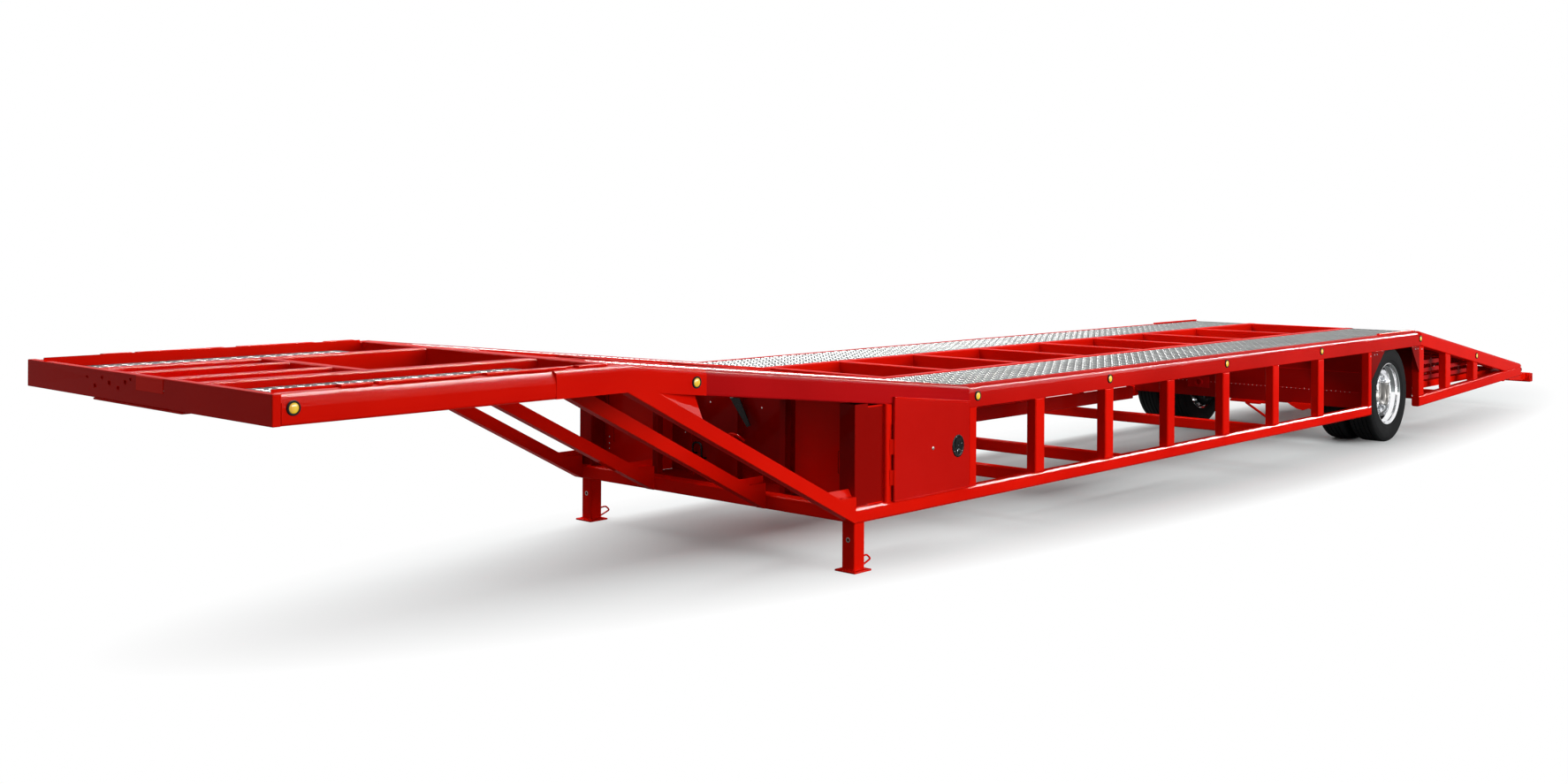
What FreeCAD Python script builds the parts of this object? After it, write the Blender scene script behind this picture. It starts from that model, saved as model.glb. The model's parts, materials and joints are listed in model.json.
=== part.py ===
import FreeCAD, Part
import os

# Car-carrying semi-trailer: gooseneck, low deck with two tread-plate runways, beavertail,
# one axle with twin wheels, and two drop legs that it stands on when it is parked.
# Millimetres. +X forward to the gooseneck, +Y to the left side, +Z up.
# The origin is on the ground under the middle of the trailer.

os.makedirs("parts", exist_ok=True)
Vector = FreeCAD.Vector

# Lengths along the trailer, from the front face to the back of the bumper.
neck_length = 2020.0
slope_length = 2849.0
deck_length = 7688.0
tail_length = 3034.0
bumper_reach = 380.0

# Widths. The runways lie between the side beams and the rails.
overall_width = 2590.0
lamp_proud = 9.0
neck_set_in = 50.0
runway_width = 620.0

# Wheels. The deck clears the tyres, and the neck and the tail follow the deck.
tyre_radius = 465.0
tyre_width = 255.0
tread_width = 214.0
tyre_shoulder = 26.0
sidewall_bulge = 6.0
bead_radius = 286.0
bead_width = 214.0
rim_lip_radius = 298.0
rim_lip = 8.0
rim_wall = 9.0
rim_well_radius = 250.0
rim_well_half = 45.0
rim_taper = 25.0
rim_bore_radius = 140.0
bell_radius = 235.0
disc = 20.0
twin_spacing = 300.0
tyre_inset = 30.0

# Heights above the ground.
deck_over_tyre = 110.0
deck_top = 2 * tyre_radius + deck_over_tyre
neck_rise = 306.0
neck_top = deck_top + neck_rise
tail_top = 533.0
floor_chord_top = 390.0
tail_floor_top = 498.0

# Sections of the frame members.
neck_depth = 140.0
neck_beam_width = 90.0
front_beam_width = 45.0
beam_depth = 145.0
beam_width = 90.0
floor_chord_depth = 90.0
tail_chord_depth = 105.0
floor_chord_width = 76.0
rail_width = 76.0
cross_width = 60.0
cross_depth = 115.0
plate = 6.0
tread_drop = 6.0
joint_gap = 1.0
running_gap = 5.0

# Gooseneck. Ports in its front face: (y, height above the beam's underside, radius).
ports = ((-527.0, 96.0, 8.0), (-438.0, 59.0, 11.0), (-361.0, 103.0, 9.0), (-284.0, 83.0, 12.0),
         (-189.0, 64.0, 9.0), (-115.0, 97.0, 12.0), (-60.0, 113.0, 9.0))
port_depth = 20.0
neck_rail_step = 28.0
neck_rail_drop = 4.0
neck_rear_cross_width = 76.0
neck_mid_cross_back = 900.0
short_rail_inner = 180.0
short_rail_width = 50.0
neck_tread_sunk = 44.0
neck_tread_end = 260.0
neck_bearer_depth = 60.0
neck_bearer_width = 24.0
neck_bearer_inset = 30.0
neck_bearer_count = 4

# Upper coupler plate and kingpin.
coupler_width = 900.0
coupler_length = 1000.0
coupler_thickness = 10.0
kingpin_behind_front = 760.0
# The kingpin's steps downward: (radius, height).
kingpin_steps = ((36.5, 22.0), (25.4, 35.0), (35.7, 27.0))

# Raised tie-down strips on the neck: (start, end) behind the front face; and ahead of the crest.
neck_strips = ((360.0, 520.0), (550.0, 1050.0), (1140.0, 1620.0), (1700.0, 1890.0))
strip_height = 12.0
neck_strip_width = 40.0
crest_strip_length = 900.0
crest_strip_width = 30.0

# Struts from the floor corner up to the neck. strut_slope is rise over run.
corner_set_back = 1722.0
strut_slope = 0.515
strut_gusset_rise = 70.0

# Deck cross beams and posts. Posts repeat along the deck behind the low bend.
first_post_behind_low = 824.0
post_pitch = 902.0
main_post_count = 6
main_post_width = 112.0
slope_pitch = 950.0
slope_post_behind_corner = 296.0
slope_post_width = 60.0
low_post_width = 83.0
arch_post_width = 63.0
# Tail posts: (front edge behind the wheel well, width).
tail_posts = ((0.0, 124.0), (728.0, 136.0), (1540.0, 122.0))
tail_cross_behind_well = (790.0, 1600.0)
end_beam_width = 60.0
end_beam_depth = 38.0

# Cross tubes between the floor chords.
front_floor_cross_width = 100.0
floor_cross_behind_corner = (1980.0, 3080.0, 5480.0)
tail_bearer_behind_well = (560.0, 2700.0)
tail_bearer_depth = 60.0

# Wheel well.
wheel_ahead_of_crest = 750.0
well_front_gap = 19.0
well_rear_gap = 237.0
well_wall_bottom = 360.0
arch_low = 630.0
arch_front_reach = 314.0
arch_rear_reach = 206.0
pocket_end_gap = 65.0
pocket_top_gap = 37.0
pocket_web = 10.0

# Drop legs in their sleeves.
leg_tube = 98.0
leg_slack = 1.0
leg_insert = 420.0
sleeve_wall = 11.0
leg_behind_corner = 78.0
leg_inset = 97.0
foot_size = 158.0
foot_thickness = 12.0
foot_inset = 18.0
handle_radius = 6.0
# The foot's bent-rod handle: (distance behind the foot's back edge, height above its plate).
handle_points = ((-34.0, 60.0), (50.0, 66.0), (84.0, 36.0), (-12.0, 2.0))
leg_hole_radius = 11.0
leg_hole_height = 190.0

# Toolboxes and their doors.
toolbox_depth = 560.0
toolbox_wall = 3.0
toolbox_behind_corner = 160.0
corner_cover_behind_corner = 140.0
corner_cover_set_in = 40.0
door_behind_corner = 356.0
door_behind_low = 3.0
door_skin = 3.0
door_lap = 48.0
door_pan_depth = 24.0
door_face_gap = 1.5
latch_proud = 5.0
latch_from_rear = 127.0
latch_height = 665.0
latch_half_width = 62.0
latch_half_height = 72.0
hinge_radius = 4.0
hinge_standoff = 5.0
hinge_leaf_width = 24.0
hinge_knuckles = 5
hinge_length = 470.0

# Bulkhead between the toolboxes.
bulkhead_behind_corner = 330.0
bulkhead_wall = 5.0
bay_floor_front = 100.0
bay_post_width = 50.0
bay_post_pitch = 430.0
bay_outer_post_inset = 90.0

# Axle, hubs and brakes.
axle_radius = 63.5
spindle_radius = 45.0
bearing_slack = 0.05
drum_radius = 208.0
drum_shoulder_radius = 175.0
drum_lip = 2.0
drum_end = 120.0
drum_shoulder = 95.0
hub_radius = 112.0
hub_cap_radius = 85.0
hub_cap_reach = 115.0
hub_cap_bevel = 25.0
spindle_reach = 70.0
spider_radius = 190.0
spider_thickness = 14.0
chamber_radius = 80.0
chamber_length = 150.0
chamber_ahead = 190.0
chamber_rise = 60.0
chamber_bracket = 12.0
chamber_bracket_half = 20.0
chamber_inset = 22.0

# Trailing-arm air suspension. Heights of the arm are from the axle's centre.
pivot_ahead = 430.0
pivot_rise = 80.0
pivot_radius = 25.0
pivot_proud = 10.0
hanger_half = 90.0
hanger_foot_half = 55.0
hanger_drop = 60.0
hanger_wall = 12.0
hanger_gap = 2.0
hanger_plate = 10.0
arm_width = 70.0
arm_end_half = 45.0
# The arm's upper and lower edges over the axle: (x from the axle, height).
arm_over = ((120.0, 130.0), (-120.0, 110.0))
arm_under = ((-140.0, -45.0), (60.0, -60.0))
arm_tail_half = 110.0
arm_tail_depth = 40.0
spring_behind = 400.0
spring_seat_drop = 10.0
spring_seat = 10.0
spring_radius = 125.0
spring_foot_radius = 100.0
spring_foot = 60.0
spring_cap_radius = 105.0
spring_cap = 70.0

# Air tank, hung on two straps from a bearer between two cross beams.
tank_radius = 130.0
tank_length = 700.0
tank_behind_beam = 274.0
tank_bearer_depth = 30.0
tank_strap_width = 40.0
tank_strap_thickness = 50.0
tank_strap_drop = 75.0
tank_strap_inset = 120.0
tank_strap_sink = 4.0

# Loading ramps stored in the tail, over the bumper.
bumper_depth = 100.0
bumper_top = 400.0
bumper_arm_width = 30.0
bumper_arm_reach = 260.0
bumper_arm_drop = 40.0
bumper_arm_end = 20.0
ramp_over_bumper = 12.0
ramp_depth = 68.0
ramp_rear_overhang = 40.0
ramp_behind_well = 480.0
ramp_from_rail = 44.0
ramp_from_chord = 130.0
ramp_side = 40.0
rung_width = 30.0
rung_pitch = 190.0
rung_low = 10.0
rung_high = 8.0

# Rear buffers and lamps.
buffer_radius = 38.0
buffer_length = 34.0
rear_lamp_radius = 16.0
rear_lamp_depth = 8.0
rear_lamp_drop = 20.0
rear_lamp_inset = (186.0, 586.0, 726.0)

# Round side marker lamps.
marker_radius = 33.0
marker_on_neck = 75.0
marker_behind_front = 100.0
marker_behind_knee = 442.0
marker_behind_low = 92.0
marker_ahead_of_crest = 23.0
marker_behind_crest = 1579.0

# Stations and edges worked out from the sizes above.
overall_length = neck_length + slope_length + deck_length + tail_length + bumper_reach
half_width = overall_width / 2
frame_half = half_width - lamp_proud
neck_half = frame_half - neck_set_in
x_front = overall_length / 2
x_rear = -x_front
x_knee = x_front - neck_length
x_low = x_knee - slope_length
x_crest = x_low - deck_length
x_tail = x_crest - tail_length
x_corner = x_knee - corner_set_back
x_wheel = x_crest + wheel_ahead_of_crest
x_well_front = x_wheel + tyre_radius + well_front_gap
x_well_rear = x_wheel - tyre_radius - well_rear_gap
x_back_of_front = x_front - front_beam_width
beam_inner = frame_half - beam_width
neck_inner = neck_half - neck_beam_width
chord_inner = frame_half - floor_chord_width
rail_outer = beam_inner - runway_width
rail_inner = rail_outer - rail_width
neck_rail_inner = rail_inner - neck_rail_step
neck_rail_outer = neck_rail_inner + rail_width
toolbox_inner = chord_inner - toolbox_depth
floor_chord_bottom = floor_chord_top - floor_chord_depth
beam_bottom = deck_top - beam_depth
neck_bottom = neck_top - neck_depth
coupler_bottom = neck_bottom - coupler_thickness
ramp_bottom = bumper_top + ramp_over_bumper
axle_height = tyre_radius
outer_tyre_middle = half_width - tyre_inset - tyre_width / 2
inner_tyre_middle = outer_tyre_middle - twin_spacing
disc_y = (outer_tyre_middle + inner_tyre_middle) / 2
hub_in = inner_tyre_middle - tyre_width / 2 + drum_lip
spindle_end = disc_y + spindle_reach
deck_stations = [x_low - first_post_behind_low - i * post_pitch for i in range(main_post_count)]


def line_z(x, start, end):
    # Height at x on the straight line between two (x, z) points.
    return start[1] + (end[1] - start[1]) * (x - start[0]) / (end[0] - start[0])


def deck_z(x):
    # Height of the top of the frame at x.
    if x >= x_knee:
        return neck_top
    if x >= x_low:
        return line_z(x, (x_knee, neck_top), (x_low, deck_top))
    if x >= x_crest:
        return deck_top
    return line_z(x, (x_crest, deck_top), (x_tail, tail_top))


def beam_under(x):
    # Underside of the side beams behind the knee.
    if x >= x_low:
        return line_z(x, (x_knee, neck_bottom), (x_low, beam_bottom))
    if x >= x_crest:
        return beam_bottom
    return deck_z(x) - beam_depth


def side_face(x):
    # Outer face of the side beams: the slope flares from the neck's width to the deck's.
    if x >= x_knee:
        return neck_half
    if x >= x_low:
        return line_z(x, (x_knee, neck_half), (x_low, frame_half))
    return frame_half


def tail_floor_z(x):
    return line_z(x, (x_well_rear, floor_chord_top), (x_tail, tail_floor_top))


def level_floor_z(x):
    # Top of the floor chord ahead of the wheels, the same at every x.
    return floor_chord_top


def box(x0, x1, y0, y1, z0, z1):
    low = Vector(min(x0, x1), min(y0, y1), min(z0, z1))
    return Part.makeBox(abs(x1 - x0), abs(y1 - y0), abs(z1 - z0), low)


def side_profile(points, y0, y1):
    # A plate or bar whose outline is drawn in side view, as (x, z) points.
    wire = Part.makePolygon([Vector(x, y0, z) for x, z in points + points[:1]])
    return Part.Face(wire).extrude(Vector(0, y1 - y0, 0))


def skew_bar(a, b):
    # A straight bar between two upright end sections, each (x, y0, y1, z0, z1).
    ends = []
    for x, y0, y1, z0, z1 in (a, b):
        ends.append([Vector(x, y0, z0), Vector(x, y1, z0), Vector(x, y1, z1), Vector(x, y0, z1)])
    loops = [ends[0], ends[1]]
    for i in range(4):
        j = (i + 1) % 4
        loops.append([ends[0][i], ends[0][j], ends[1][j], ends[1][i]])
    faces = [Part.Face(Part.makePolygon(loop + loop[:1])) for loop in loops]
    solid = Part.Solid(Part.makeShell(faces))
    if solid.Volume < 0:
        solid.reverse()
    return solid


def rod(start, end, radius):
    axis = end - start
    return Part.makeCylinder(radius, axis.Length, start, axis)


def mirrored(shape):
    return shape.mirror(Vector(0, 0, 0), Vector(0, 1, 0))


def both_sides(shapes):
    return shapes + [mirrored(shape) for shape in shapes]


def joined(shapes):
    return shapes[0].fuse(shapes[1:]).removeSplitter()


def spun(points, y_shift=0.0):
    # A ring about the wheel's axis from (radius, y) points.
    wire = Part.makePolygon([Vector(r, y + y_shift, 0) for r, y in points + points[:1]])
    return Part.Face(wire).revolve(Vector(0, 0, 0), Vector(0, 1, 0), 360)


def write(node, shapes):
    shape = shapes[0] if len(shapes) == 1 else Part.makeCompound(shapes)
    shape.exportStep("parts/" + node + ".step")


def write_pair(node, shape):
    write(node + "_left", [shape])
    write(node + "_right", [mirrored(shape)])


# Gooseneck frame.
def make_neck():
    front = box(x_back_of_front, x_front, -neck_half, neck_half, neck_bottom, neck_top)
    for y, rise, radius in ports:
        start = Vector(x_front - port_depth, y, neck_bottom + rise)
        front = front.cut(rod(start, start + Vector(port_depth, 0, 0), radius))
    write("neck_front_beam", [front])

    side = box(x_knee, x_back_of_front, neck_inner, neck_half, neck_bottom, neck_top)
    write("neck_side_beams", both_sides([side]))

    x_rear_cross = x_knee + neck_rear_cross_width
    x_mid = x_front - neck_mid_cross_back
    rail_top = neck_top - neck_rail_drop
    rear_cross = box(x_knee, x_rear_cross, -neck_inner, neck_inner, neck_bottom, neck_top)
    mid_cross = box(x_mid - cross_width, x_mid, -neck_rail_inner, neck_rail_inner,
                    neck_bottom, rail_top)
    long_rail = box(x_rear_cross, x_back_of_front, neck_rail_inner, neck_rail_outer,
                    neck_bottom, rail_top)
    short_rail = box(x_mid, x_back_of_front, short_rail_inner, short_rail_inner + short_rail_width,
                     neck_bottom, rail_top)
    write("neck_rails", both_sides([long_rail, short_rail]))

    # Tread plate sunk below the top of the neck, on bearers.
    plate_top = neck_top - neck_tread_sunk
    plate_under = plate_top - plate
    tread_start = x_knee + neck_tread_end
    tread = box(tread_start, x_back_of_front - joint_gap, neck_rail_outer + joint_gap,
                neck_inner - joint_gap, plate_under, plate_top)
    write("neck_treadways", both_sides([tread]))
    first = tread_start + neck_bearer_inset
    step = (x_back_of_front - neck_bearer_inset - first) / (neck_bearer_count - 1)
    bearers = []
    for i in range(neck_bearer_count):
        x = first + i * step
        bearers.append(box(x - neck_bearer_width / 2, x + neck_bearer_width / 2, neck_rail_outer,
                           neck_inner, plate_under - neck_bearer_depth, plate_under))
    write("neck_crossmembers", [rear_cross, mid_cross] + both_sides(bearers))


def make_coupler():
    # Upper coupler plate with the kingpin that a tractor's fifth wheel locks on.
    steps = [box(x_front - coupler_length, x_front, -coupler_width / 2, coupler_width / 2,
                 coupler_bottom, neck_bottom)]
    z = coupler_bottom
    for radius, height in kingpin_steps:
        z -= height
        steps.append(Part.makeCylinder(radius, height, Vector(x_front - kingpin_behind_front, 0, z)))
    write("coupler_plate", [joined(steps)])


def make_strips():
    # Raised tie-down strips along the inner edge of the neck's side beams.
    strips = []
    for start, end in neck_strips:
        strips.append(box(x_front - end, x_front - start, neck_inner, neck_inner + neck_strip_width,
                          neck_top, neck_top + strip_height))
    # The same on the deck's side beams, ahead of the crest.
    strips.append(box(x_crest, x_crest + crest_strip_length, beam_inner,
                      beam_inner + crest_strip_width, deck_top, deck_top + strip_height))
    write("tie_down_strips", both_sides(strips))


def make_side_beams():
    # The slope's beams splay from the neck's width to the deck's.
    slope = skew_bar((x_low, beam_inner, frame_half, beam_bottom, deck_top),
                     (x_knee, neck_inner, neck_half, neck_bottom, neck_top))
    write("slope_side_beams", both_sides([slope]))

    # Over the wheels the beam is an open channel, so that the outer tyre has room to rise.
    pocket_half = tyre_radius + pocket_end_gap
    pocket_top = 2 * tyre_radius + pocket_top_gap
    deck_beam = box(x_crest, x_low, beam_inner, frame_half, beam_bottom, deck_top)
    deck_beam = deck_beam.cut(box(x_wheel - pocket_half, x_wheel + pocket_half, beam_inner,
                                  frame_half - pocket_web, beam_bottom, pocket_top))
    write("deck_side_beams", both_sides([deck_beam]))

    # The tail beam is mitred on top of the rising floor chord.
    top_fall = (deck_top - tail_top) / tail_length
    floor_rise = (tail_floor_top - floor_chord_top) / (x_well_rear - x_tail)
    gap = beam_bottom - tail_floor_z(x_crest)
    x_mitre = x_crest - gap / (top_fall + floor_rise)
    outline = [(x_crest, beam_bottom), (x_crest, deck_top), (x_tail, tail_top),
               (x_tail, tail_floor_top), (x_mitre, tail_floor_z(x_mitre))]
    write("tail_side_beams", both_sides([side_profile(outline, beam_inner, frame_half)]))


def sleeve_box(wall):
    # Plan of the leg's sleeve: x0, x1, y0, y1.
    half = leg_tube / 2 + leg_slack + wall
    x = x_corner - leg_behind_corner
    y = half_width - leg_inset
    return x - half, x + half, y - half, y + half


def make_floor_frame():
    # Floor chords along both sides; the leg sleeves pass through their front ends.
    x0, x1, y0, y1 = sleeve_box(sleeve_wall)
    sleeve_space = box(x0, x1, y0, y1, 0, deck_top)
    chord = box(x_well_front, x_corner, chord_inner, frame_half,
                floor_chord_bottom, floor_chord_top).cut(sleeve_space)
    tail_chord = skew_bar(
        (x_tail, chord_inner, frame_half, tail_floor_top - tail_chord_depth, tail_floor_top),
        (x_well_rear, chord_inner, frame_half, floor_chord_top - tail_chord_depth, floor_chord_top))
    write("floor_chords", both_sides([chord, tail_chord]))

    front = box(x_corner - front_floor_cross_width, x_corner, -chord_inner, chord_inner,
                floor_chord_bottom, floor_chord_top)
    front = front.cut(sleeve_space).cut(mirrored(sleeve_space))
    crossmembers = [front]
    for behind in floor_cross_behind_corner:
        x = x_corner - behind
        crossmembers.append(box(x - cross_width, x, -chord_inner, chord_inner,
                                floor_chord_bottom, floor_chord_top))
    # Two tubes in the tail carry the ramps.
    top = ramp_bottom - running_gap
    for behind in tail_bearer_behind_well:
        x = x_well_rear - behind
        crossmembers.append(box(x - cross_width, x, -chord_inner, chord_inner,
                                top - tail_bearer_depth, top))
    write("floor_crossmembers", crossmembers)


def standing_post(x1, width, floor, face):
    # A post from the floor chord up to the beam over it; x1 is its front edge.
    x0 = x1 - width
    outline = [(x0, floor(x0)), (x1, floor(x1)), (x1, beam_under(x1)), (x0, beam_under(x0))]
    return side_profile(outline, chord_inner, face)


def make_posts():
    posts = []
    for x, width in ((x_corner - slope_post_behind_corner, slope_post_width),
                     (x_low - door_behind_low, low_post_width)):
        posts.append(standing_post(x, width, level_floor_z, side_face(x - width / 2)))
    for x in deck_stations:
        posts.append(standing_post(x + main_post_width / 2, main_post_width,
                                   level_floor_z, frame_half))
    posts.append(standing_post(x_well_front + arch_post_width, arch_post_width,
                               level_floor_z, frame_half))
    # Tail posts stand between the rising floor chord and the falling beam.
    for behind, width in tail_posts:
        posts.append(standing_post(x_well_rear - behind, width, tail_floor_z, frame_half))
    write("side_posts", both_sides(posts))

    # Wheel arch plates: slanted edges that follow the tyre.
    plates = []
    for x, reach in ((x_well_front, -arch_front_reach), (x_well_rear, arch_rear_reach)):
        plates.append(side_profile([(x, arch_low), (x, beam_bottom), (x + reach, beam_bottom)],
                                   frame_half - plate, frame_half))
    # Cross walls at the front and the back of the wheel well.
    walls = []
    for x in (x_well_front + cross_width, x_well_rear - plate):
        walls.append(box(x, x + plate, -chord_inner, chord_inner, well_wall_bottom, beam_bottom))
    write("wheel_well_plates", walls + both_sides(plates))


def make_struts():
    # Struts from the front floor beam up to the underside of the neck. The foot of each
    # has a level gusset on top.
    foot_top = floor_chord_top + strut_gusset_rise
    x_gusset = x_corner + strut_gusset_rise / strut_slope
    x_low_end = x_corner + (neck_bottom - floor_chord_bottom) / strut_slope
    beam_slope = (neck_bottom - beam_bottom) / slope_length
    x_top_end = x_corner + (beam_under(x_corner) - floor_chord_top) / (strut_slope - beam_slope)
    outline = [(x_corner, floor_chord_bottom), (x_corner, foot_top), (x_gusset, foot_top),
               (x_top_end, beam_under(x_top_end) - joint_gap), (x_knee, neck_bottom - joint_gap),
               (x_low_end, neck_bottom - joint_gap)]
    inner = side_profile(outline, neck_rail_inner, neck_rail_outer)
    # The outer strut leans in from the corner to the neck's narrower side.
    outer = side_profile(outline, neck_half - floor_chord_width, frame_half)
    plan = [(x_corner, frame_half), (x_knee, neck_half), (x_low_end, neck_half),
            (x_low_end, neck_half - floor_chord_width), (x_knee, neck_half - floor_chord_width),
            (x_corner, chord_inner)]
    wire = Part.makePolygon([Vector(x, y, 0) for x, y in plan + plan[:1]])
    outer = outer.common(Part.Face(wire).extrude(Vector(0, 0, neck_top)))
    write("neck_struts", both_sides([outer, inner]))


def make_deck():
    # Runway rails from the neck to the tail end.
    end_beam_bottom = tail_top - end_beam_depth
    fall = (deck_top - tail_top) / tail_length
    x_thin = x_crest - (beam_bottom - end_beam_bottom) / fall
    x_end = x_tail + end_beam_width
    rail = side_profile([(x_knee, neck_bottom), (x_knee, neck_top), (x_low, deck_top),
                         (x_crest, deck_top), (x_end, deck_z(x_end)), (x_end, end_beam_bottom),
                         (x_thin, end_beam_bottom), (x_crest, beam_bottom), (x_low, beam_bottom)],
                        rail_inner, rail_outer)
    write("deck_rails", both_sides([rail]))

    # Cross beams between the rails, and outriggers under the tread plate beside them.
    end_beam = side_profile([(x_tail, end_beam_bottom), (x_tail, tail_top),
                             (x_end, deck_z(x_end)), (x_end, end_beam_bottom)],
                            -beam_inner, beam_inner)
    stations = deck_stations + [x_knee - slope_pitch, x_knee - 2 * slope_pitch, x_low - cross_width,
                                x_well_front + cross_width, x_crest + cross_width]
    stations += [x_well_rear - behind for behind in tail_cross_behind_well]
    crossmembers = [end_beam]
    outriggers = []
    for x in stations:
        ends = []
        arms = []
        for xs in (x - cross_width / 2, x + cross_width / 2):
            top = deck_z(xs)
            ends.append((xs, -rail_inner, rail_inner, top - cross_depth, top))
            arms.append((xs, rail_outer, side_face(xs) - beam_width, top - cross_depth,
                         top - tread_drop - plate))
        crossmembers.append(skew_bar(ends[0], ends[1]))
        outriggers.append(skew_bar(arms[0], arms[1]))
    write("deck_crossmembers", crossmembers)
    write("deck_outriggers", both_sides(outriggers))

    # Tread plates in the three planes of the deck, with a small gap at each bend.
    bends = (x_end, x_crest, x_low, x_knee)
    write("deck_treadways", both_sides([tread_plate(xa, xb) for xa, xb in zip(bends, bends[1:])]))


def tread_plate(xa, xb):
    sections = []
    for x in (xa + joint_gap, xb - joint_gap):
        top = deck_z(x) - tread_drop
        sections.append((x, rail_outer + joint_gap, side_face(x) - beam_width - joint_gap,
                         top - plate, top))
    return skew_bar(sections[0], sections[1])


def under_beam(x0, x1, wall):
    # Side outline from the floor chord up to the sloping beam, drawn in by a wall's thickness.
    low = floor_chord_top + wall
    drop = joint_gap + wall
    return [(x0, low), (x1, low), (x1, beam_under(x1) - drop), (x0, beam_under(x0) - drop)]


def make_toolboxes():
    # A hollow box on each side behind the front corner, open to the outside.
    wall = toolbox_wall
    x0 = x_low - door_behind_low
    x1 = x_corner - toolbox_behind_corner
    shell = side_profile(under_beam(x0, x1, 0.0), toolbox_inner, chord_inner)
    shell = shell.cut(side_profile(under_beam(x0 + wall, x1 - wall, wall),
                                   toolbox_inner + wall, chord_inner + wall))
    # Side cover between the corner and the door's front post.
    x_post = x_corner - slope_post_behind_corner
    cover_face = frame_half - corner_cover_set_in
    cover = box(x_post, x_corner - corner_cover_behind_corner, cover_face - wall, cover_face,
                floor_chord_top, beam_under(x_post) - joint_gap)

    # Hinge along the door's front edge: knuckles on the door and the post by turns.
    x_door_front = x_corner - door_behind_corner
    hinge_x = x_door_front + hinge_standoff
    hinge_y = half_width - hinge_radius
    pitch = hinge_length / hinge_knuckles
    door_knuckles = []
    post_knuckles = []
    for i in range(hinge_knuckles):
        z = floor_chord_top + running_gap + i * pitch
        z1 = z + pitch - joint_gap
        knuckle = rod(Vector(hinge_x, hinge_y, z), Vector(hinge_x, hinge_y, z1), hinge_radius)
        if i % 2 == 0:
            door_knuckles += [knuckle, box(x_door_front - door_skin, hinge_x, hinge_y - hinge_radius,
                                           hinge_y, z, z1)]
        else:
            xb = hinge_x + hinge_leaf_width
            leaf = skew_bar((hinge_x, side_face(hinge_x), hinge_y, z, z1),
                            (xb, side_face(xb), side_face(xb) + toolbox_wall, z, z1))
            post_knuckles.append(joined([knuckle, leaf]))
    write("toolboxes", both_sides([shell, cover] + post_knuckles))

    # The door: a proud skin that laps over the frame, and a pan that fills the opening.
    skin_inner = half_width - latch_proud - door_skin
    skin_outer = skin_inner + door_skin
    upper_edge = [(x_door_front, beam_under(x_door_front) + door_lap), (x0, beam_under(x0) + door_lap)]
    low = floor_chord_top - running_gap
    skin = side_profile([(x0, low), (x_door_front, low)] + upper_edge, skin_inner, skin_outer)
    # Behind the skin, the door's edges reach back towards the beam, which flares.
    pan_low = floor_chord_top + running_gap
    edges = side_profile([(x0, pan_low), (x_door_front, pan_low)] + upper_edge,
                         side_face(x_door_front), skin_inner)
    edges = edges.cut(skew_bar((x0, 0, side_face(x0) + door_face_gap, 0, neck_top),
                               (x_door_front, 0, side_face(x_door_front) + door_face_gap, 0, neck_top)))
    xa = x0 + running_gap
    xb = x_door_front - running_gap
    pan_outline = [(xa, pan_low), (xb, pan_low), (xb, beam_under(xb) - running_gap),
                   (xa, beam_under(xa) - running_gap)]
    pan = side_profile(pan_outline, skin_inner - door_pan_depth, skin_inner)
    write_pair("toolbox_door", joined([skin, edges, pan] + door_knuckles))

    # Oval paddle latch near the door's rear edge.
    oval = Part.makeCylinder(1.0, latch_proud, Vector(0, 0, 0), Vector(0, 1, 0))
    stretch = FreeCAD.Matrix()
    stretch.scale(latch_half_width, 1.0, latch_half_height)
    latch = oval.transformGeometry(stretch)
    latch.translate(Vector(x0 + latch_from_rear, skin_outer, latch_height))
    write_pair("door_latch", latch)


def make_front_bay():
    # Panel and floor between the toolboxes, with the posts that stiffen them.
    x0 = x_corner - bulkhead_behind_corner
    roof = beam_under(x0 - bulkhead_wall) - joint_gap
    pieces = [box(x0 - bulkhead_wall, x0, -toolbox_inner, toolbox_inner, floor_chord_bottom, roof),
              box(x0, x_corner - bay_floor_front, -toolbox_inner, toolbox_inner,
                  floor_chord_top - bulkhead_wall, floor_chord_top)]
    half = bay_post_width / 2
    for y in (-bay_post_pitch, 0.0, bay_post_pitch):
        pieces.append(box(x0, x0 + bay_post_width, y - half, y + half, floor_chord_top, roof))
    x1 = x_corner - toolbox_behind_corner
    y0 = toolbox_inner - bay_outer_post_inset
    pieces += both_sides([box(x1, x1 + bay_post_width, y0, y0 + bay_post_width,
                              floor_chord_top, roof)])
    write("front_bulkhead", [joined(pieces)])


def make_legs():
    x0, x1, y0, y1 = sleeve_box(sleeve_wall)
    hx0, hx1, hy0, hy1 = sleeve_box(0.0)
    top = beam_under(x0) - joint_gap
    sleeve = box(x0, x1, y0, y1, floor_chord_bottom, top).cut(box(hx0, hx1, hy0, hy1, 0, top))
    write("leg_sleeves", both_sides([sleeve]))

    x = x_corner - leg_behind_corner
    y = half_width - leg_inset
    half = leg_tube / 2
    tube = box(x - half, x + half, y - half, y + half, foot_thickness, floor_chord_bottom + leg_insert)
    foot_out = half_width - foot_inset
    foot = box(x - foot_size / 2, x + foot_size / 2, foot_out - foot_size, foot_out, 0, foot_thickness)
    # Bent-rod handle at the back of the foot.
    points = [Vector(x - foot_size / 2 - behind, y, foot_thickness + rise)
              for behind, rise in handle_points]
    handle = [Part.makeSphere(handle_radius, point) for point in points[1:]]
    handle += [rod(start, end, handle_radius) for start, end in zip(points, points[1:])]
    leg = joined([tube, foot] + handle)
    leg = leg.cut(rod(Vector(x - half, y, leg_hole_height), Vector(x + half, y, leg_hole_height),
                      leg_hole_radius))
    write_pair("leg", leg)


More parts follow.
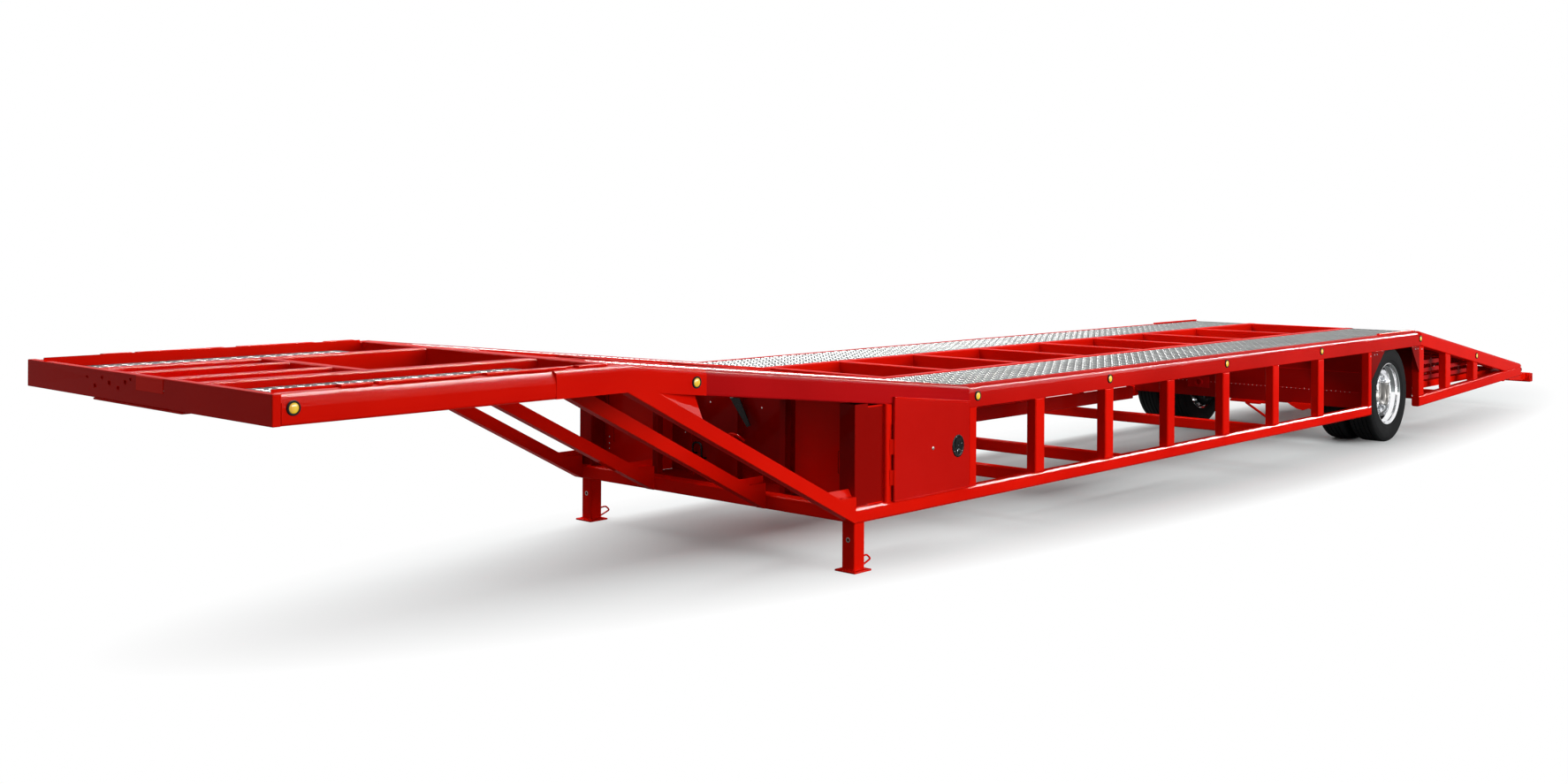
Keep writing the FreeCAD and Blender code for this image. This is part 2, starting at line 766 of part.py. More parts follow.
def tyre(middle):
    # Section from the bead round the sidewall to the tread, turned about the axle.
    half_bead = bead_width / 2
    half_tread = tread_width / 2
    half_tyre = tyre_width / 2
    side_radius = (tyre_radius + bead_radius) / 2
    shoulder_radius = tyre_radius - tyre_shoulder
    bead = Vector(bead_radius, -half_bead, 0)
    side = Vector(side_radius, -half_tyre, 0)
    shoulder = Vector(shoulder_radius, -half_tread - sidewall_bulge, 0)
    tread = Vector(tyre_radius, -half_tread + tyre_shoulder, 0)
    low = Vector((bead_radius + side_radius) / 2, -half_tyre + sidewall_bulge, 0)
    high = Vector((side_radius + shoulder_radius) / 2, -half_tyre + sidewall_bulge, 0)
    # The shoulder's arc runs into the tread without a corner.
    drop = tread.x - shoulder.x
    run = tread.y - shoulder.y
    round_radius = (drop ** 2 + run ** 2) / (2 * drop)
    round_centre = Vector(tyre_radius - round_radius, tread.y, 0)
    toward = (shoulder + tread) * 0.5 - round_centre
    corner = round_centre + toward.normalize() * round_radius
    arcs = [Part.Arc(bead, low, side), Part.Arc(side, high, shoulder), Part.Arc(shoulder, corner, tread)]
    edges = [arc.toShape() for arc in arcs]
    edges += [edge.mirror(Vector(0, 0, 0), Vector(0, 1, 0)) for edge in edges]
    for end in (bead, tread):
        edges.append(Part.makeLine(end, Vector(end.x, -end.y, 0)))
    wire = Part.Wire(Part.__sortEdges__(edges))
    ring = Part.Face(wire).revolve(Vector(0, 0, 0), Vector(0, 1, 0), 360)
    ring.translate(Vector(0, middle, 0))
    return ring


def rim(middle, toward):
    # Lip, bead seat, drop centre and back again, with the bell that meets the other rim.
    lip_end = bead_width / 2 + rim_lip
    taper_end = rim_well_half + rim_taper
    outer_half = [(rim_lip_radius, lip_end), (rim_lip_radius, bead_width / 2),
                  (bead_radius, bead_width / 2), (bead_radius, taper_end),
                  (rim_well_radius, rim_well_half)]
    inner_radius = bead_radius - rim_wall
    inner_half = [(rim_well_radius - rim_wall, rim_well_half), (inner_radius, taper_end),
                  (inner_radius, lip_end)]
    outline = outer_half + [(r, -y) for r, y in reversed(outer_half)]
    outline += [(r, -y) for r, y in reversed(inner_half)] + inner_half
    near = disc_y - middle
    bell = [(inner_radius, toward * taper_end), (inner_radius, toward * (taper_end + disc)),
            (bell_radius, near), (rim_bore_radius, near), (rim_bore_radius, near - toward * disc),
            (bell_radius - rim_wall, near - toward * disc)]
    return spun(outline, middle).fuse(spun(bell, middle))


def make_wheels():
    centre = Vector(x_wheel, 0, axle_height)
    pair = rim(outer_tyre_middle, -1).fuse(rim(inner_tyre_middle, 1)).removeSplitter()
    tyres = [tyre(middle).cut(pair) for middle in (outer_tyre_middle, inner_tyre_middle)]

    # Hub with the brake drum, turning on the axle's spindle.
    bore = spindle_radius + bearing_slack
    cap_out = disc_y + hub_cap_reach
    bore_end = spindle_end + running_gap
    hub = spun([(bore, hub_in), (drum_radius, hub_in), (drum_radius, disc_y - drum_end),
                (drum_shoulder_radius, disc_y - drum_shoulder),
                (rim_bore_radius, disc_y - drum_shoulder), (rim_bore_radius, disc_y + disc),
                (hub_radius, disc_y + disc),
                (hub_radius, cap_out - hub_cap_bevel), (hub_cap_radius, cap_out), (0.0, cap_out),
                (0.0, bore_end), (bore, bore_end)])
    for shape in tyres + [pair, hub]:
        shape.translate(centre)
    write("tyres_left", tyres)
    write("tyres_right", [mirrored(shape) for shape in tyres])
    write_pair("rims", pair)
    write_pair("hub", hub)


def cross_rod(x, z, y0, y1, radius):
    return rod(Vector(x, y0, z), Vector(x, y1, z), radius)


def make_axle():
    # Axle tube with its spindles and the plates that carry the brakes.
    plate_in = hub_in - running_gap - spider_thickness
    ends = [cross_rod(x_wheel, axle_height, plate_in, plate_in + spider_thickness, spider_radius),
            cross_rod(x_wheel, axle_height, plate_in, spindle_end, spindle_radius)]
    tube = cross_rod(x_wheel, axle_height, -plate_in, plate_in, axle_radius)
    write("axle", [joined([tube] + both_sides(ends))])

    # Brake chambers on brackets that sit on the axle tube.
    chamber_x = x_wheel + chamber_ahead
    chamber_z = axle_height + chamber_rise
    y1 = rail_inner - chamber_inset
    chamber = cross_rod(chamber_x, chamber_z, y1 - chamber_length, y1, chamber_radius)
    bracket = box(x_wheel, chamber_x, y1, y1 + chamber_bracket, axle_height - chamber_bracket_half,
                  chamber_z + chamber_bracket_half)
    bracket = bracket.cut(cross_rod(x_wheel, axle_height, 0, half_width, axle_radius))
    write("brake_chambers", both_sides([joined([chamber, bracket])]))


def make_suspension():
    # Trailing arms in hangers under the runway rails, with an air spring behind the axle.
    z = axle_height
    y0 = rail_inner
    y1 = rail_inner + arm_width
    pivot_x = x_wheel + pivot_ahead
    pivot_z = z + pivot_rise
    foot_z = pivot_z - hanger_drop
    cheek = [(pivot_x - hanger_half, beam_bottom), (pivot_x + hanger_half, beam_bottom),
             (pivot_x + hanger_foot_half, foot_z), (pivot_x - hanger_foot_half, foot_z)]
    outer_face = y1 + hanger_gap + hanger_wall
    inner_face = y0 - hanger_gap - hanger_wall
    hanger = [side_profile(cheek, inner_face, y0 - hanger_gap),
              side_profile(cheek, y1 + hanger_gap, outer_face),
              cross_rod(pivot_x, pivot_z, inner_face - pivot_proud, outer_face + pivot_proud,
                        pivot_radius),
              box(pivot_x - hanger_half, pivot_x + hanger_half, inner_face, outer_face,
                  beam_bottom - hanger_plate, beam_bottom)]

    spring_x = x_wheel - spring_behind
    seat_top = z - spring_seat_drop
    seat_low = seat_top - spring_seat
    outline = [(pivot_x + arm_end_half, pivot_z - arm_end_half),
               (pivot_x + arm_end_half, pivot_z + arm_end_half)]
    outline += [(x_wheel + x, z + rise) for x, rise in arm_over]
    outline += [(spring_x + arm_tail_half, seat_low), (spring_x - arm_tail_half, seat_low),
                (spring_x - arm_tail_half, seat_low - arm_tail_depth)]
    outline += [(x_wheel + x, z + rise) for x, rise in arm_under]
    arm = side_profile(outline, y0, y1).cut(cross_rod(x_wheel, z, y0, y1, axle_radius))
    spring_y = (y0 + y1) / 2
    seat = box(spring_x - spring_radius, spring_x + spring_radius, spring_y - spring_radius,
               spring_y + spring_radius, seat_low, seat_top)
    write("suspension_arms", both_sides([joined(hanger + [arm, seat])]))

    # Each spring: a piston, the rubber bag and a cap under the rail.
    bag_low = seat_top + spring_foot
    bag_top = beam_bottom - spring_cap
    spring = []
    for low, top, radius in ((seat_top, bag_low, spring_foot_radius), (bag_low, bag_top, spring_radius),
                             (bag_top, beam_bottom, spring_cap_radius)):
        spring.append(Part.makeCylinder(radius, top - low, Vector(spring_x, spring_y, low)))
    write("air_springs", both_sides([joined(spring)]))


def make_air_tank():
    # The bearer runs between the second and the fourth of the deck's cross beams.
    bearer_top = deck_top - cross_depth
    bearer_low = bearer_top - tank_bearer_depth
    half = tank_strap_thickness / 2
    x1 = deck_stations[1]
    bearer = box(deck_stations[3], x1, -half, half, bearer_low, bearer_top)
    tank_front = x1 - tank_behind_beam
    tank_rear = tank_front - tank_length
    z = bearer_low - tank_strap_drop - tank_radius
    tank = rod(Vector(tank_rear, 0, z), Vector(tank_front, 0, z), tank_radius)
    straps = []
    for x in (tank_rear + tank_strap_inset, tank_front - tank_strap_inset):
        straps.append(box(x - tank_strap_width / 2, x + tank_strap_width / 2, -half, half,
                          z + tank_radius - tank_strap_sink, bearer_low))
    write("air_tank", [joined([tank, bearer] + straps)])


def make_ramps():
    # Each ramp is a ladder of rungs between two side rails, and slides straight out.
    y0 = rail_outer + ramp_from_rail
    y1 = chord_inner - ramp_from_chord
    x0 = x_tail - ramp_rear_overhang
    x1 = x_well_rear - ramp_behind_well
    z0 = ramp_bottom
    z1 = ramp_bottom + ramp_depth
    pieces = [box(x0, x1, y0, y0 + ramp_side, z0, z1), box(x0, x1, y1 - ramp_side, y1, z0, z1)]
    reach = x1 - x0 - rung_width
    count = int(reach // rung_pitch)
    for i in range(count + 1):
        x = x0 + i * reach / count
        pieces.append(box(x, x + rung_width, y0 + ramp_side, y1 - ramp_side,
                          z0 + rung_low, z1 - rung_high))
    write_pair("ramp", joined(pieces))


def make_rear():
    # Bumper on an arm behind each floor chord.
    x1 = x_rear + bumper_depth
    bumper = box(x_rear, x1, joint_gap - half_width, half_width - joint_gap,
                 bumper_top - bumper_depth, bumper_top)
    chord_low = tail_floor_top - tail_chord_depth
    x_arm = x_tail + bumper_arm_reach
    arm = side_profile([(x_tail, chord_low), (x_tail, chord_low + bumper_arm_end), (x1, bumper_top),
                        (x1, bumper_top - bumper_depth + bumper_arm_end),
                        (x_arm, chord_low - bumper_arm_drop),
                        (x_arm, tail_floor_z(x_arm) - tail_chord_depth)],
                       chord_inner, chord_inner + bumper_arm_width)
    write("rear_bumper", [joined([bumper] + both_sides([arm]))])

    buffer_z = tail_floor_top - buffer_radius
    buffer_y = frame_half - buffer_radius
    buffer = rod(Vector(x_tail - buffer_length, buffer_y, buffer_z),
                 Vector(x_tail, buffer_y, buffer_z), buffer_radius)
    write("rear_buffers", both_sides([buffer]))

    lamp_z = tail_top - rear_lamp_drop
    lamps = []
    for inset in rear_lamp_inset:
        y = frame_half - inset
        lamps.append(rod(Vector(x_tail - rear_lamp_depth, y, lamp_z), Vector(x_tail, y, lamp_z),
                         rear_lamp_radius))
    write("rear_lamps", both_sides(lamps))


def make_markers():
    # Each lamp stands on the outer face of its beam, halfway up it.
    stations = [x_knee - marker_behind_knee, x_low - marker_behind_low, deck_stations[1],
                deck_stations[3], deck_stations[5], x_crest + marker_ahead_of_crest,
                x_crest - marker_behind_crest]
    places = [(x, deck_z(x) - beam_depth / 2) for x in stations]
    places.append((x_front - marker_behind_front, neck_bottom + marker_on_neck))
    lamps = []
    for x, z in places:
        y = side_face(x - marker_radius)
        lamps.append(rod(Vector(x, y, z), Vector(x, y + lamp_proud, z), marker_radius))
    write("marker_lamps", both_sides(lamps))


make_neck()
make_coupler()
make_strips()
make_side_beams()
make_floor_frame()
make_posts()
make_struts()
make_deck()
make_toolboxes()
make_front_bay()
make_legs()
make_wheels()
make_axle()
make_suspension()
make_air_tank()
make_ramps()
make_rear()
make_markers()
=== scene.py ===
import json
import math
import bmesh
import bpy
from mathutils import Vector, Matrix

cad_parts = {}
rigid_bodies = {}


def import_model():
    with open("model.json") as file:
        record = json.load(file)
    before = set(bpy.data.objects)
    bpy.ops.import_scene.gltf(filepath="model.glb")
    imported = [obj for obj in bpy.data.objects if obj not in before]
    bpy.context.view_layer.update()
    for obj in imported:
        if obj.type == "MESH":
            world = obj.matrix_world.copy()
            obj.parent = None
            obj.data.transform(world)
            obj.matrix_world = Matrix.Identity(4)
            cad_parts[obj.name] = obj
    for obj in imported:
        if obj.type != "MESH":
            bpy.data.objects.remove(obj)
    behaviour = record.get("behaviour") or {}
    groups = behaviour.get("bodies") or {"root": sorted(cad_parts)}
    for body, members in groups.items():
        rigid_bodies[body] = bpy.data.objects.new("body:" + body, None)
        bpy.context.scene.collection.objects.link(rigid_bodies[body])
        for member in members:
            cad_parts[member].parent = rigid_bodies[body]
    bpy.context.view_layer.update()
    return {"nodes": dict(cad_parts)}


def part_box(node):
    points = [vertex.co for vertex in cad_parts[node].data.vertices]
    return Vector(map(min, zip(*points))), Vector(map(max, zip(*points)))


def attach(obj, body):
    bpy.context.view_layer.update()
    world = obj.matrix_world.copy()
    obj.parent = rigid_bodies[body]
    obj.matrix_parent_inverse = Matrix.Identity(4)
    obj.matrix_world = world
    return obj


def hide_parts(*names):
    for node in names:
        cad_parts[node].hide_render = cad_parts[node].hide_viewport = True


# Car-carrying semi-trailer, finished in gloss red enamel with bright tread-plate runways.
# Metres. +X forward to the gooseneck, +Y to the left side, +Z up. Turned profiles, the radii given
# to softBlock, weldBead, rivetHeads and hexBolts, and whatever is multiplied by mm are millimetres.

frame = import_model()
mm = 0.001
mergeGap = 0.01 * mm    # corners of a CAD node that are closer than this are one corner


# Small tools

def clearPick():
    if bpy.context.object and bpy.context.object.mode != "OBJECT":
        bpy.ops.object.mode_set(mode="OBJECT")
    bpy.ops.object.select_all(action="DESELECT")


def makeActive(*pieces):
    clearPick()
    for piece in pieces:
        piece.select_set(True)
    bpy.context.view_layer.objects.active = pieces[0]
    return pieces[0]


def editParts(piece, kind, wanted):
    # goes into edit mode with the faces or edges that pass the test selected
    makeActive(piece)
    bpy.ops.object.mode_set(mode="EDIT")
    bpy.ops.mesh.select_mode(type=kind)
    mesh = bmesh.from_edit_mesh(piece.data)
    parts = mesh.faces if kind == "FACE" else mesh.edges
    for part in parts:
        part.select_set(False)
    for part in parts:
        if wanted(part):
            part.select_set(True)
    mesh.select_flush_mode()
    bmesh.update_edit_mesh(piece.data)


def editFaces(piece, wanted):
    editParts(piece, "FACE", wanted)


def editEdges(piece, wanted):
    editParts(piece, "EDGE", wanted)


def objectMode():
    bpy.ops.object.mode_set(mode="OBJECT")


def evenShading(piece, degrees=40):
    # flat faces stay flat and the roundings between them shade smoothly
    makeActive(piece)
    bpy.ops.object.shade_smooth_by_angle(angle=math.radians(degrees))
    weigh = piece.modifiers.new("evenShading", "WEIGHTED_NORMAL")
    weigh.keep_sharp = True
    weigh.weight = 80
    bpy.ops.object.modifier_apply(modifier=weigh.name)


def tidyNormals(piece, gap=0.02 * mm):
    makeActive(piece)
    bpy.ops.object.mode_set(mode="EDIT")
    bpy.ops.mesh.select_all(action="SELECT")
    bpy.ops.mesh.remove_doubles(threshold=gap)
    bpy.ops.mesh.normals_make_consistent(inside=False)
    objectMode()


def settle(piece):
    # the place goes into the mesh, as a CAD node's does
    makeActive(piece)
    bpy.ops.object.transform_apply(location=True, rotation=True, scale=True)


def named(piece, name):
    piece.name = name
    piece.data.name = name
    return piece


def blockPiece(name, low, high):
    clearPick()
    low, high = Vector(low), Vector(high)
    bpy.ops.mesh.primitive_cube_add(size=1, location=(low + high) / 2)
    piece = named(bpy.context.object, name)
    piece.scale = high - low
    settle(piece)
    return piece


def platePiece(name, outline, y0, y1):
    # a plate cut to an outline of (x, z) points, standing between y0 and y1
    clearPick()
    bpy.ops.mesh.primitive_circle_add(vertices=len(outline), radius=1, fill_type="NGON")
    piece = named(bpy.context.object, name)
    for corner, (x, z) in zip(piece.data.vertices, outline):
        corner.co = (x, y0, z)
    bpy.ops.object.mode_set(mode="EDIT")
    bpy.ops.mesh.select_all(action="SELECT")
    bpy.ops.mesh.extrude_region_move(TRANSFORM_OT_translate={"value": (0, y1 - y0, 0)})
    objectMode()
    tidyNormals(piece)
    return piece


def rodPiece(name, start, end, radius, sides=24):
    clearPick()
    start, end = Vector(start), Vector(end)
    axis = end - start
    bpy.ops.mesh.primitive_cylinder_add(vertices=sides, radius=radius, depth=axis.length,
                                        location=(start + end) / 2,
                                        rotation=axis.to_track_quat("Z", "Y").to_euler())
    piece = named(bpy.context.object, name)
    settle(piece)
    return piece


def bentRod(name, points, radius, sides=8, ripple=0.0):
    # a rod bent through the points; a ripple makes a weld bead of it
    phase = 2.1    # radians of the ripple from one point to the next
    line = bpy.data.curves.new(name, "CURVE")
    line.dimensions = "3D"
    line.bevel_depth = radius
    line.bevel_resolution = max(0, sides // 4 - 1)
    line.use_fill_caps = True
    path = line.splines.new("POLY")
    path.points.add(len(points) - 1)
    for i, point in enumerate(points):
        path.points[i].co = (*point, 1)
        path.points[i].radius = 1 + ripple * math.sin(phase * i)
    piece = bpy.data.objects.new(name, line)
    bpy.context.collection.objects.link(piece)
    makeActive(piece)
    bpy.ops.object.convert(target="MESH")
    return named(bpy.context.object, name)


def rounded(points, bend, steps=6):
    # the same path with each corner turned into a bend of that radius
    path = [Vector(points[0])]
    for before, corner, after in zip(points, points[1:], points[2:]):
        corner = Vector(corner)
        reachIn = Vector(before) - corner
        reachOut = Vector(after) - corner
        cut = min(bend, reachIn.length / 2, reachOut.length / 2)
        start = corner + reachIn.normalized() * cut
        stop = corner + reachOut.normalized() * cut
        for i in range(steps + 1):
            t = i / steps
            path.append((1 - t) ** 2 * start + 2 * t * (1 - t) * corner + t ** 2 * stop)
    path.append(Vector(points[-1]))
    return path


def turnedPiece(name, profile, centre, steps=64, axis="Y", degrees=None):
    # a profile of (radius, distance along the axis) points in mm, drawn by extruding and then spun
    profile = [(radius * mm, along * mm) for radius, along in profile]
    clearPick()
    bpy.ops.mesh.primitive_plane_add(size=mm, location=(0, 0, 0))
    piece = named(bpy.context.object, name)
    bpy.ops.object.mode_set(mode="EDIT")
    bpy.ops.mesh.select_mode(type="VERT")
    bpy.ops.mesh.select_all(action="SELECT")
    bpy.ops.mesh.merge(type="CENTER")
    radius, along = profile[0]
    bpy.ops.transform.translate(value=(radius, 0, along))
    for (r0, a0), (r1, a1) in zip(profile, profile[1:]):
        bpy.ops.mesh.extrude_region_move(TRANSFORM_OT_translate={"value": (r1 - r0, 0, a1 - a0)})
    bpy.ops.mesh.select_all(action="SELECT")
    bpy.ops.mesh.spin(steps=steps, angle=2 * math.pi, center=(0, 0, 0), axis=(0, 0, 1))
    objectMode()
    turns = {"X": Matrix.Rotation(math.pi / 2, 4, "Y"), "Y": Matrix.Rotation(-math.pi / 2, 4, "X"),
             "Z": Matrix.Identity(4)}
    piece.data.transform(Matrix.Translation(Vector(centre)) @ turns[axis])
    tidyNormals(piece)
    if degrees:
        evenShading(piece, degrees)
    return piece


def copyOf(piece, name, move=(0, 0, 0)):
    double = bpy.data.objects.new(name, piece.data.copy())
    double.data.name = name
    double.data.transform(Matrix.Translation(Vector(move)))
    bpy.context.collection.objects.link(double)
    return double


def mirrorOf(piece, name):
    # the same piece on the trailer's other side
    double = copyOf(piece, name)
    double.data.transform(Matrix.Scale(-1, 4, (0, 1, 0)))
    double.data.flip_normals()
    return double


def joinAll(pieces, name, degrees=None):
    makeActive(*pieces)
    if len(pieces) > 1:
        bpy.ops.object.join()
    joined = named(bpy.context.object, name)
    if degrees:
        evenShading(joined, degrees)
    return joined


def spreadOut(base, name, moves):
    # one modelled piece copied to each place and joined
    copies = [copyOf(base, name, move) for move in moves]
    bpy.data.objects.remove(base, do_unlink=True)
    return joinAll(copies, name)


def bevelEdges(piece, width, segments=2, degrees=30):
    makeActive(piece)
    cut = piece.modifiers.new("softEdges", "BEVEL")
    cut.width = width
    cut.segments = segments
    cut.limit_method = "ANGLE"
    cut.angle_limit = math.radians(degrees)
    bpy.ops.object.modifier_apply(modifier=cut.name)
    evenShading(piece)
    return piece


def cutWith(piece, cutter):
    makeActive(piece)
    hole = piece.modifiers.new("cut", "BOOLEAN")
    hole.operation = "DIFFERENCE"
    hole.object = cutter
    hole.solver = "EXACT"
    bpy.ops.object.modifier_apply(modifier=hole.name)
    bpy.data.objects.remove(cutter, do_unlink=True)


def finish(piece, material, *nodes, body="trailer", slot=None):
    # the slot argument is not used
    piece.data.materials.clear()
    piece.data.materials.append(material)
    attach(piece, body)
    if nodes:
        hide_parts(*nodes)
    return piece


def bothSides(piece, material, *nodes, body="trailer"):
    # finishes a left-hand piece and its mirror image; a moving one rides on its own side's body
    stem = piece.name
    other = mirrorOf(piece, stem + "_right")
    named(piece, stem + "_left")
    for side, part in (("left", piece), ("right", other)):
        ride = "trailer" if body == "trailer" else body.replace("SIDE", side)
        finish(part, material, *[node.replace("SIDE", side) for node in nodes], body=ride)


def solidBoxes(node):
    # low and high corner of each separate solid of a node, the front ones first
    mesh = bmesh.new()
    mesh.from_mesh(frame["nodes"][node].data)
    bmesh.ops.remove_doubles(mesh, verts=mesh.verts, dist=mergeGap)
    seen, boxes = set(), []
    for first in mesh.verts:
        if first in seen:
            continue
        seen.add(first)
        waiting, points = [first], []
        while waiting:
            vert = waiting.pop()
            points.append(vert.co.copy())
            for edge in vert.link_edges:
                other = edge.other_vert(vert)
                if other not in seen:
                    seen.add(other)
                    waiting.append(other)
        boxes.append((Vector([min(p[i] for p in points) for i in range(3)]),
                      Vector([max(p[i] for p in points) for i in range(3)])))
    mesh.free()
    return sorted(boxes, key=lambda box: (-round(box[1].x, 3), -round(box[1].y, 3), box[0].z))


def leftBoxes(node):
    return [box for box in solidBoxes(node) if box[1].y > 0]



# Materials

def linear(hexText):
    # sRGB hex to linear light
    values = []
    for i in (0, 2, 4):
        part = int(hexText[i:i + 2], 16) / 255
        values.append(part / 12.92 if part <= 0.04045 else ((part + 0.055) / 1.055) ** 2.4)
    return (*values, 1.0)


def addNode(tree, kind, settings=None, links=None):
    node = tree.nodes.new("ShaderNode" + kind)
    for key, value in (settings or {}).items():
        if isinstance(key, int) or key in node.inputs:
            node.inputs[key].default_value = value
        else:
            setattr(node, key, value)
    for key, socket in (links or {}).items():
        tree.links.new(socket, node.inputs[key])
    return node


def newMaterial(name):
    material = bpy.data.materials.new(name)
    material.use_nodes = True
    material.node_tree.nodes.clear()
    return material, material.node_tree


def makeFinish(name, tones, rough, drift, bumps, settings, stretch=1.0, roughByBump=False):
    # tones: two sRGB colours, and drift the noise between them as (size mm, detail, from, to);
    # rough: least and most; bumps: each noise in the surface as (size mm, detail, strength, height mm)
    material, tree = newMaterial(name)
    place = addNode(tree, "TexCoord").outputs["Object"]
    size, detail, low, high = drift
    steer = addNode(tree, "TexNoise", {"Scale": 1000 / size, "Detail": detail}, {"Vector": place})
    blend = addNode(tree, "MapRange", {"From Min": low, "From Max": high}, {"Value": steer.outputs[0]})
    colour = addNode(tree, "Mix", {"data_type": "RGBA", 6: linear(tones[0]), 7: linear(tones[1])},
                     {0: blend.outputs[0]})
    along = addNode(tree, "Mapping", {"Scale": (stretch, 1.0, 1.0)}, {"Vector": place})
    normals = {}
    for size, detail, strength, height in bumps:
        raised = addNode(tree, "TexNoise", {"Scale": 1000 / size, "Detail": detail},
                         {"Vector": along.outputs[0]})
        bump = addNode(tree, "Bump", {"Strength": strength, "Distance": height * mm},
                       {"Height": raised.outputs[0], **normals})
        normals = {"Normal": bump.outputs[0]}
    steer = raised if roughByBump else steer
    roughness = addNode(tree, "MapRange", {"From Min": 0.3, "From Max": 0.7, "To Min": rough[0],
                                           "To Max": rough[1]}, {"Value": steer.outputs[0]})
    shader = addNode(tree, "BsdfPrincipled", settings,
                     {"Base Color": colour.outputs[2], "Roughness": roughness.outputs[0], **normals})
    addNode(tree, "OutputMaterial", links={"Surface": shader.outputs[0]})
    return material


def makeEnamel(name, *tones, gloss=0.26):
    # Two-part polyurethane enamel, sprayed over steel: deep colour under a thin clear gloss, with
    # slow waves where the steel has been welded. Only the gloss mirrors, so the red stays deep.
    # The spray's orange peel is about 1 mm across; it is drawn at 5 mm so that it shows at all.
    enamel = {"patchMm": 900, "waveMm": 420, "waveHigh": 2, "peelMm": 5, "peelHigh": 0.1,
              "wander": 0.05, "coat": 0.22, "coatIor": 1.15, "coatRough": 0.05}
    return makeFinish(name, tones, (gloss - enamel["wander"], gloss + enamel["wander"]),
                      (enamel["patchMm"], 3.0, 0.35, 0.65),
                      [(enamel["waveMm"], 1.0, 0.05, enamel["waveHigh"]),
                       (enamel["peelMm"], 2.0, 0.03, enamel["peelHigh"])],
                      {"IOR": 1.5, "Specular IOR Level": 0.0, "Coat Weight": enamel["coat"],
                       "Coat IOR": enamel["coatIor"], "Coat Roughness": enamel["coatRough"]})


def makeMetal(name, *tones, rough, grainMm, wander=0.06, dent=0.12, edge=1.0):
    # Aluminium and bright steel keep a grain from the mill or the polishing wheel, long along the
    # trailer. Real grain is under 1 mm; it is drawn at a few mm so that it shows.
    metal = {"broadMm": 350, "stretch": 0.15, "grainHigh": 0.2}
    return makeFinish(name, tones, (rough - wander, rough + wander), (metal["broadMm"], 3.0, 0.35, 0.65),
                      [(grainMm, 4.0, dent, metal["grainHigh"])],
                      {"Metallic": 1.0, "Specular Tint": (edge, edge, edge, 1)}, metal["stretch"], True)


def makeRubber(name, *tones, rough, dustMm):
    # Carbon-black rubber, moulded: nearly black, dull, a little paler where dust holds. The pores
    # of its skin are well under 1 mm; they are drawn at 3 mm.
    rubber = {"poreMm": 3, "poreDeep": 0.2, "shinier": 0.06, "duller": 0.08}
    return makeFinish(name, tones, (rough - rubber["shinier"], rough + rubber["duller"]),
                      (dustMm, 5.0, 0.4, 0.75), [(rubber["poreMm"], 2.0, 0.15, rubber["poreDeep"])],
                      {"IOR": 1.5, "Specular IOR Level": 0.16})


def makeLens(name, base, shade):
    # Moulded acrylic lamp lens: clear gloss over colour. Its inside is fluted every 6 mm, too fine
    # to show; the flutes are drawn as bands 38 mm apart. A wave texture has 20 bands in 2 pi units.
    look = {"bandMm": 37.7, "fluteDeep": 0.4 * mm, "glow": 0.2}
    material, tree = newMaterial(name)
    place = addNode(tree, "TexCoord").outputs["Object"]
    flute = addNode(tree, "TexWave", {"Scale": 2 * math.pi / 20 / (look["bandMm"] * mm),
                                      "Distortion": 0.0, "bands_direction": "X"}, {"Vector": place})
    colour = addNode(tree, "Mix", {"data_type": "RGBA", 6: linear(base), 7: linear(shade)},
                     {0: flute.outputs[1]})
    bump = addNode(tree, "Bump", {"Strength": 0.25, "Distance": look["fluteDeep"]},
                   {"Height": flute.outputs[1]})
    shader = addNode(tree, "BsdfPrincipled",
                     {"IOR": 1.49, "Roughness": 0.12, "Coat Weight": 0.6, "Coat Roughness": 0.03,
                      "Subsurface Weight": look["glow"], "Subsurface Scale": 6 * mm},
                     {"Base Color": colour.outputs[2], "Normal": bump.outputs[0]})
    addNode(tree, "OutputMaterial", links={"Surface": shader.outputs[0]})
    return material


# name, the two tones that drift into each other, and how rough
enamelRed = makeEnamel("sprayed enamel red", "DA1406", "CC0E04")
# enamelDeep and enamelMildShade are the same red darkened, as painted shade
enamelDeep = makeEnamel("sprayed enamel red, second coat", "B20F12", "A40C0E", gloss=0.22)
enamelMildShade = makeEnamel("sprayed enamel red, doors", "C0140E", "B2100A", gloss=0.22)
# the same red made lighter, used on the socket plate
enamelBright = makeEnamel("sprayed enamel red, touched up", "FF2008", "F01604")
# the same red darkened, as painted shade on parts set back in the frame
enamelShadow = makeEnamel("sprayed enamel red, darkest painted shade", "8E0A06", "7A0604", gloss=0.34)
enamelBlack = makeEnamel("chassis enamel black", "16161A", "101012", gloss=0.3)
treadAluminium = makeMetal("rolled tread plate aluminium", "767878", "686A6A", rough=0.5, grainMm=4,
                           edge=0.1)
# the lugs are brighter than the plate, partly from wear and partly as painted highlight
lugAluminium = makeMetal("worn lug aluminium", "F4F4F2", "E2E2E0", rough=0.26, grainMm=3)
polishedAluminium = makeMetal("polished forged aluminium", "FAFAFB", "F0F1F3", rough=0.07, grainMm=2,
                              wander=0.02, dent=0.01)
machinedSteel = makeMetal("machined steel", "A5A29C", "8C8985", rough=0.34, grainMm=2)
zincSteel = makeMetal("zinc plated steel", "C9CCCF", "B0B4B8", rough=0.28, grainMm=2)
tyreRubber = makeRubber("moulded tyre rubber", "0C0C0D", "151516", rough=0.75, dustMm=120)
seatRubber = makeRubber("moulded black rubber", "0A0A0B", "121213", rough=0.55, dustMm=60)
latchCoat = makeRubber("black powder coated zinc casting", "050506", "0A0A0B", rough=0.25, dustMm=20)
amberLens = makeLens("amber acrylic lens", "FFD420", "FFC00C")
redLens = makeLens("red acrylic lens", "B80C10", "7E0608")
print("materials ready")


# Where the frame's parts lie, read from the CAD nodes

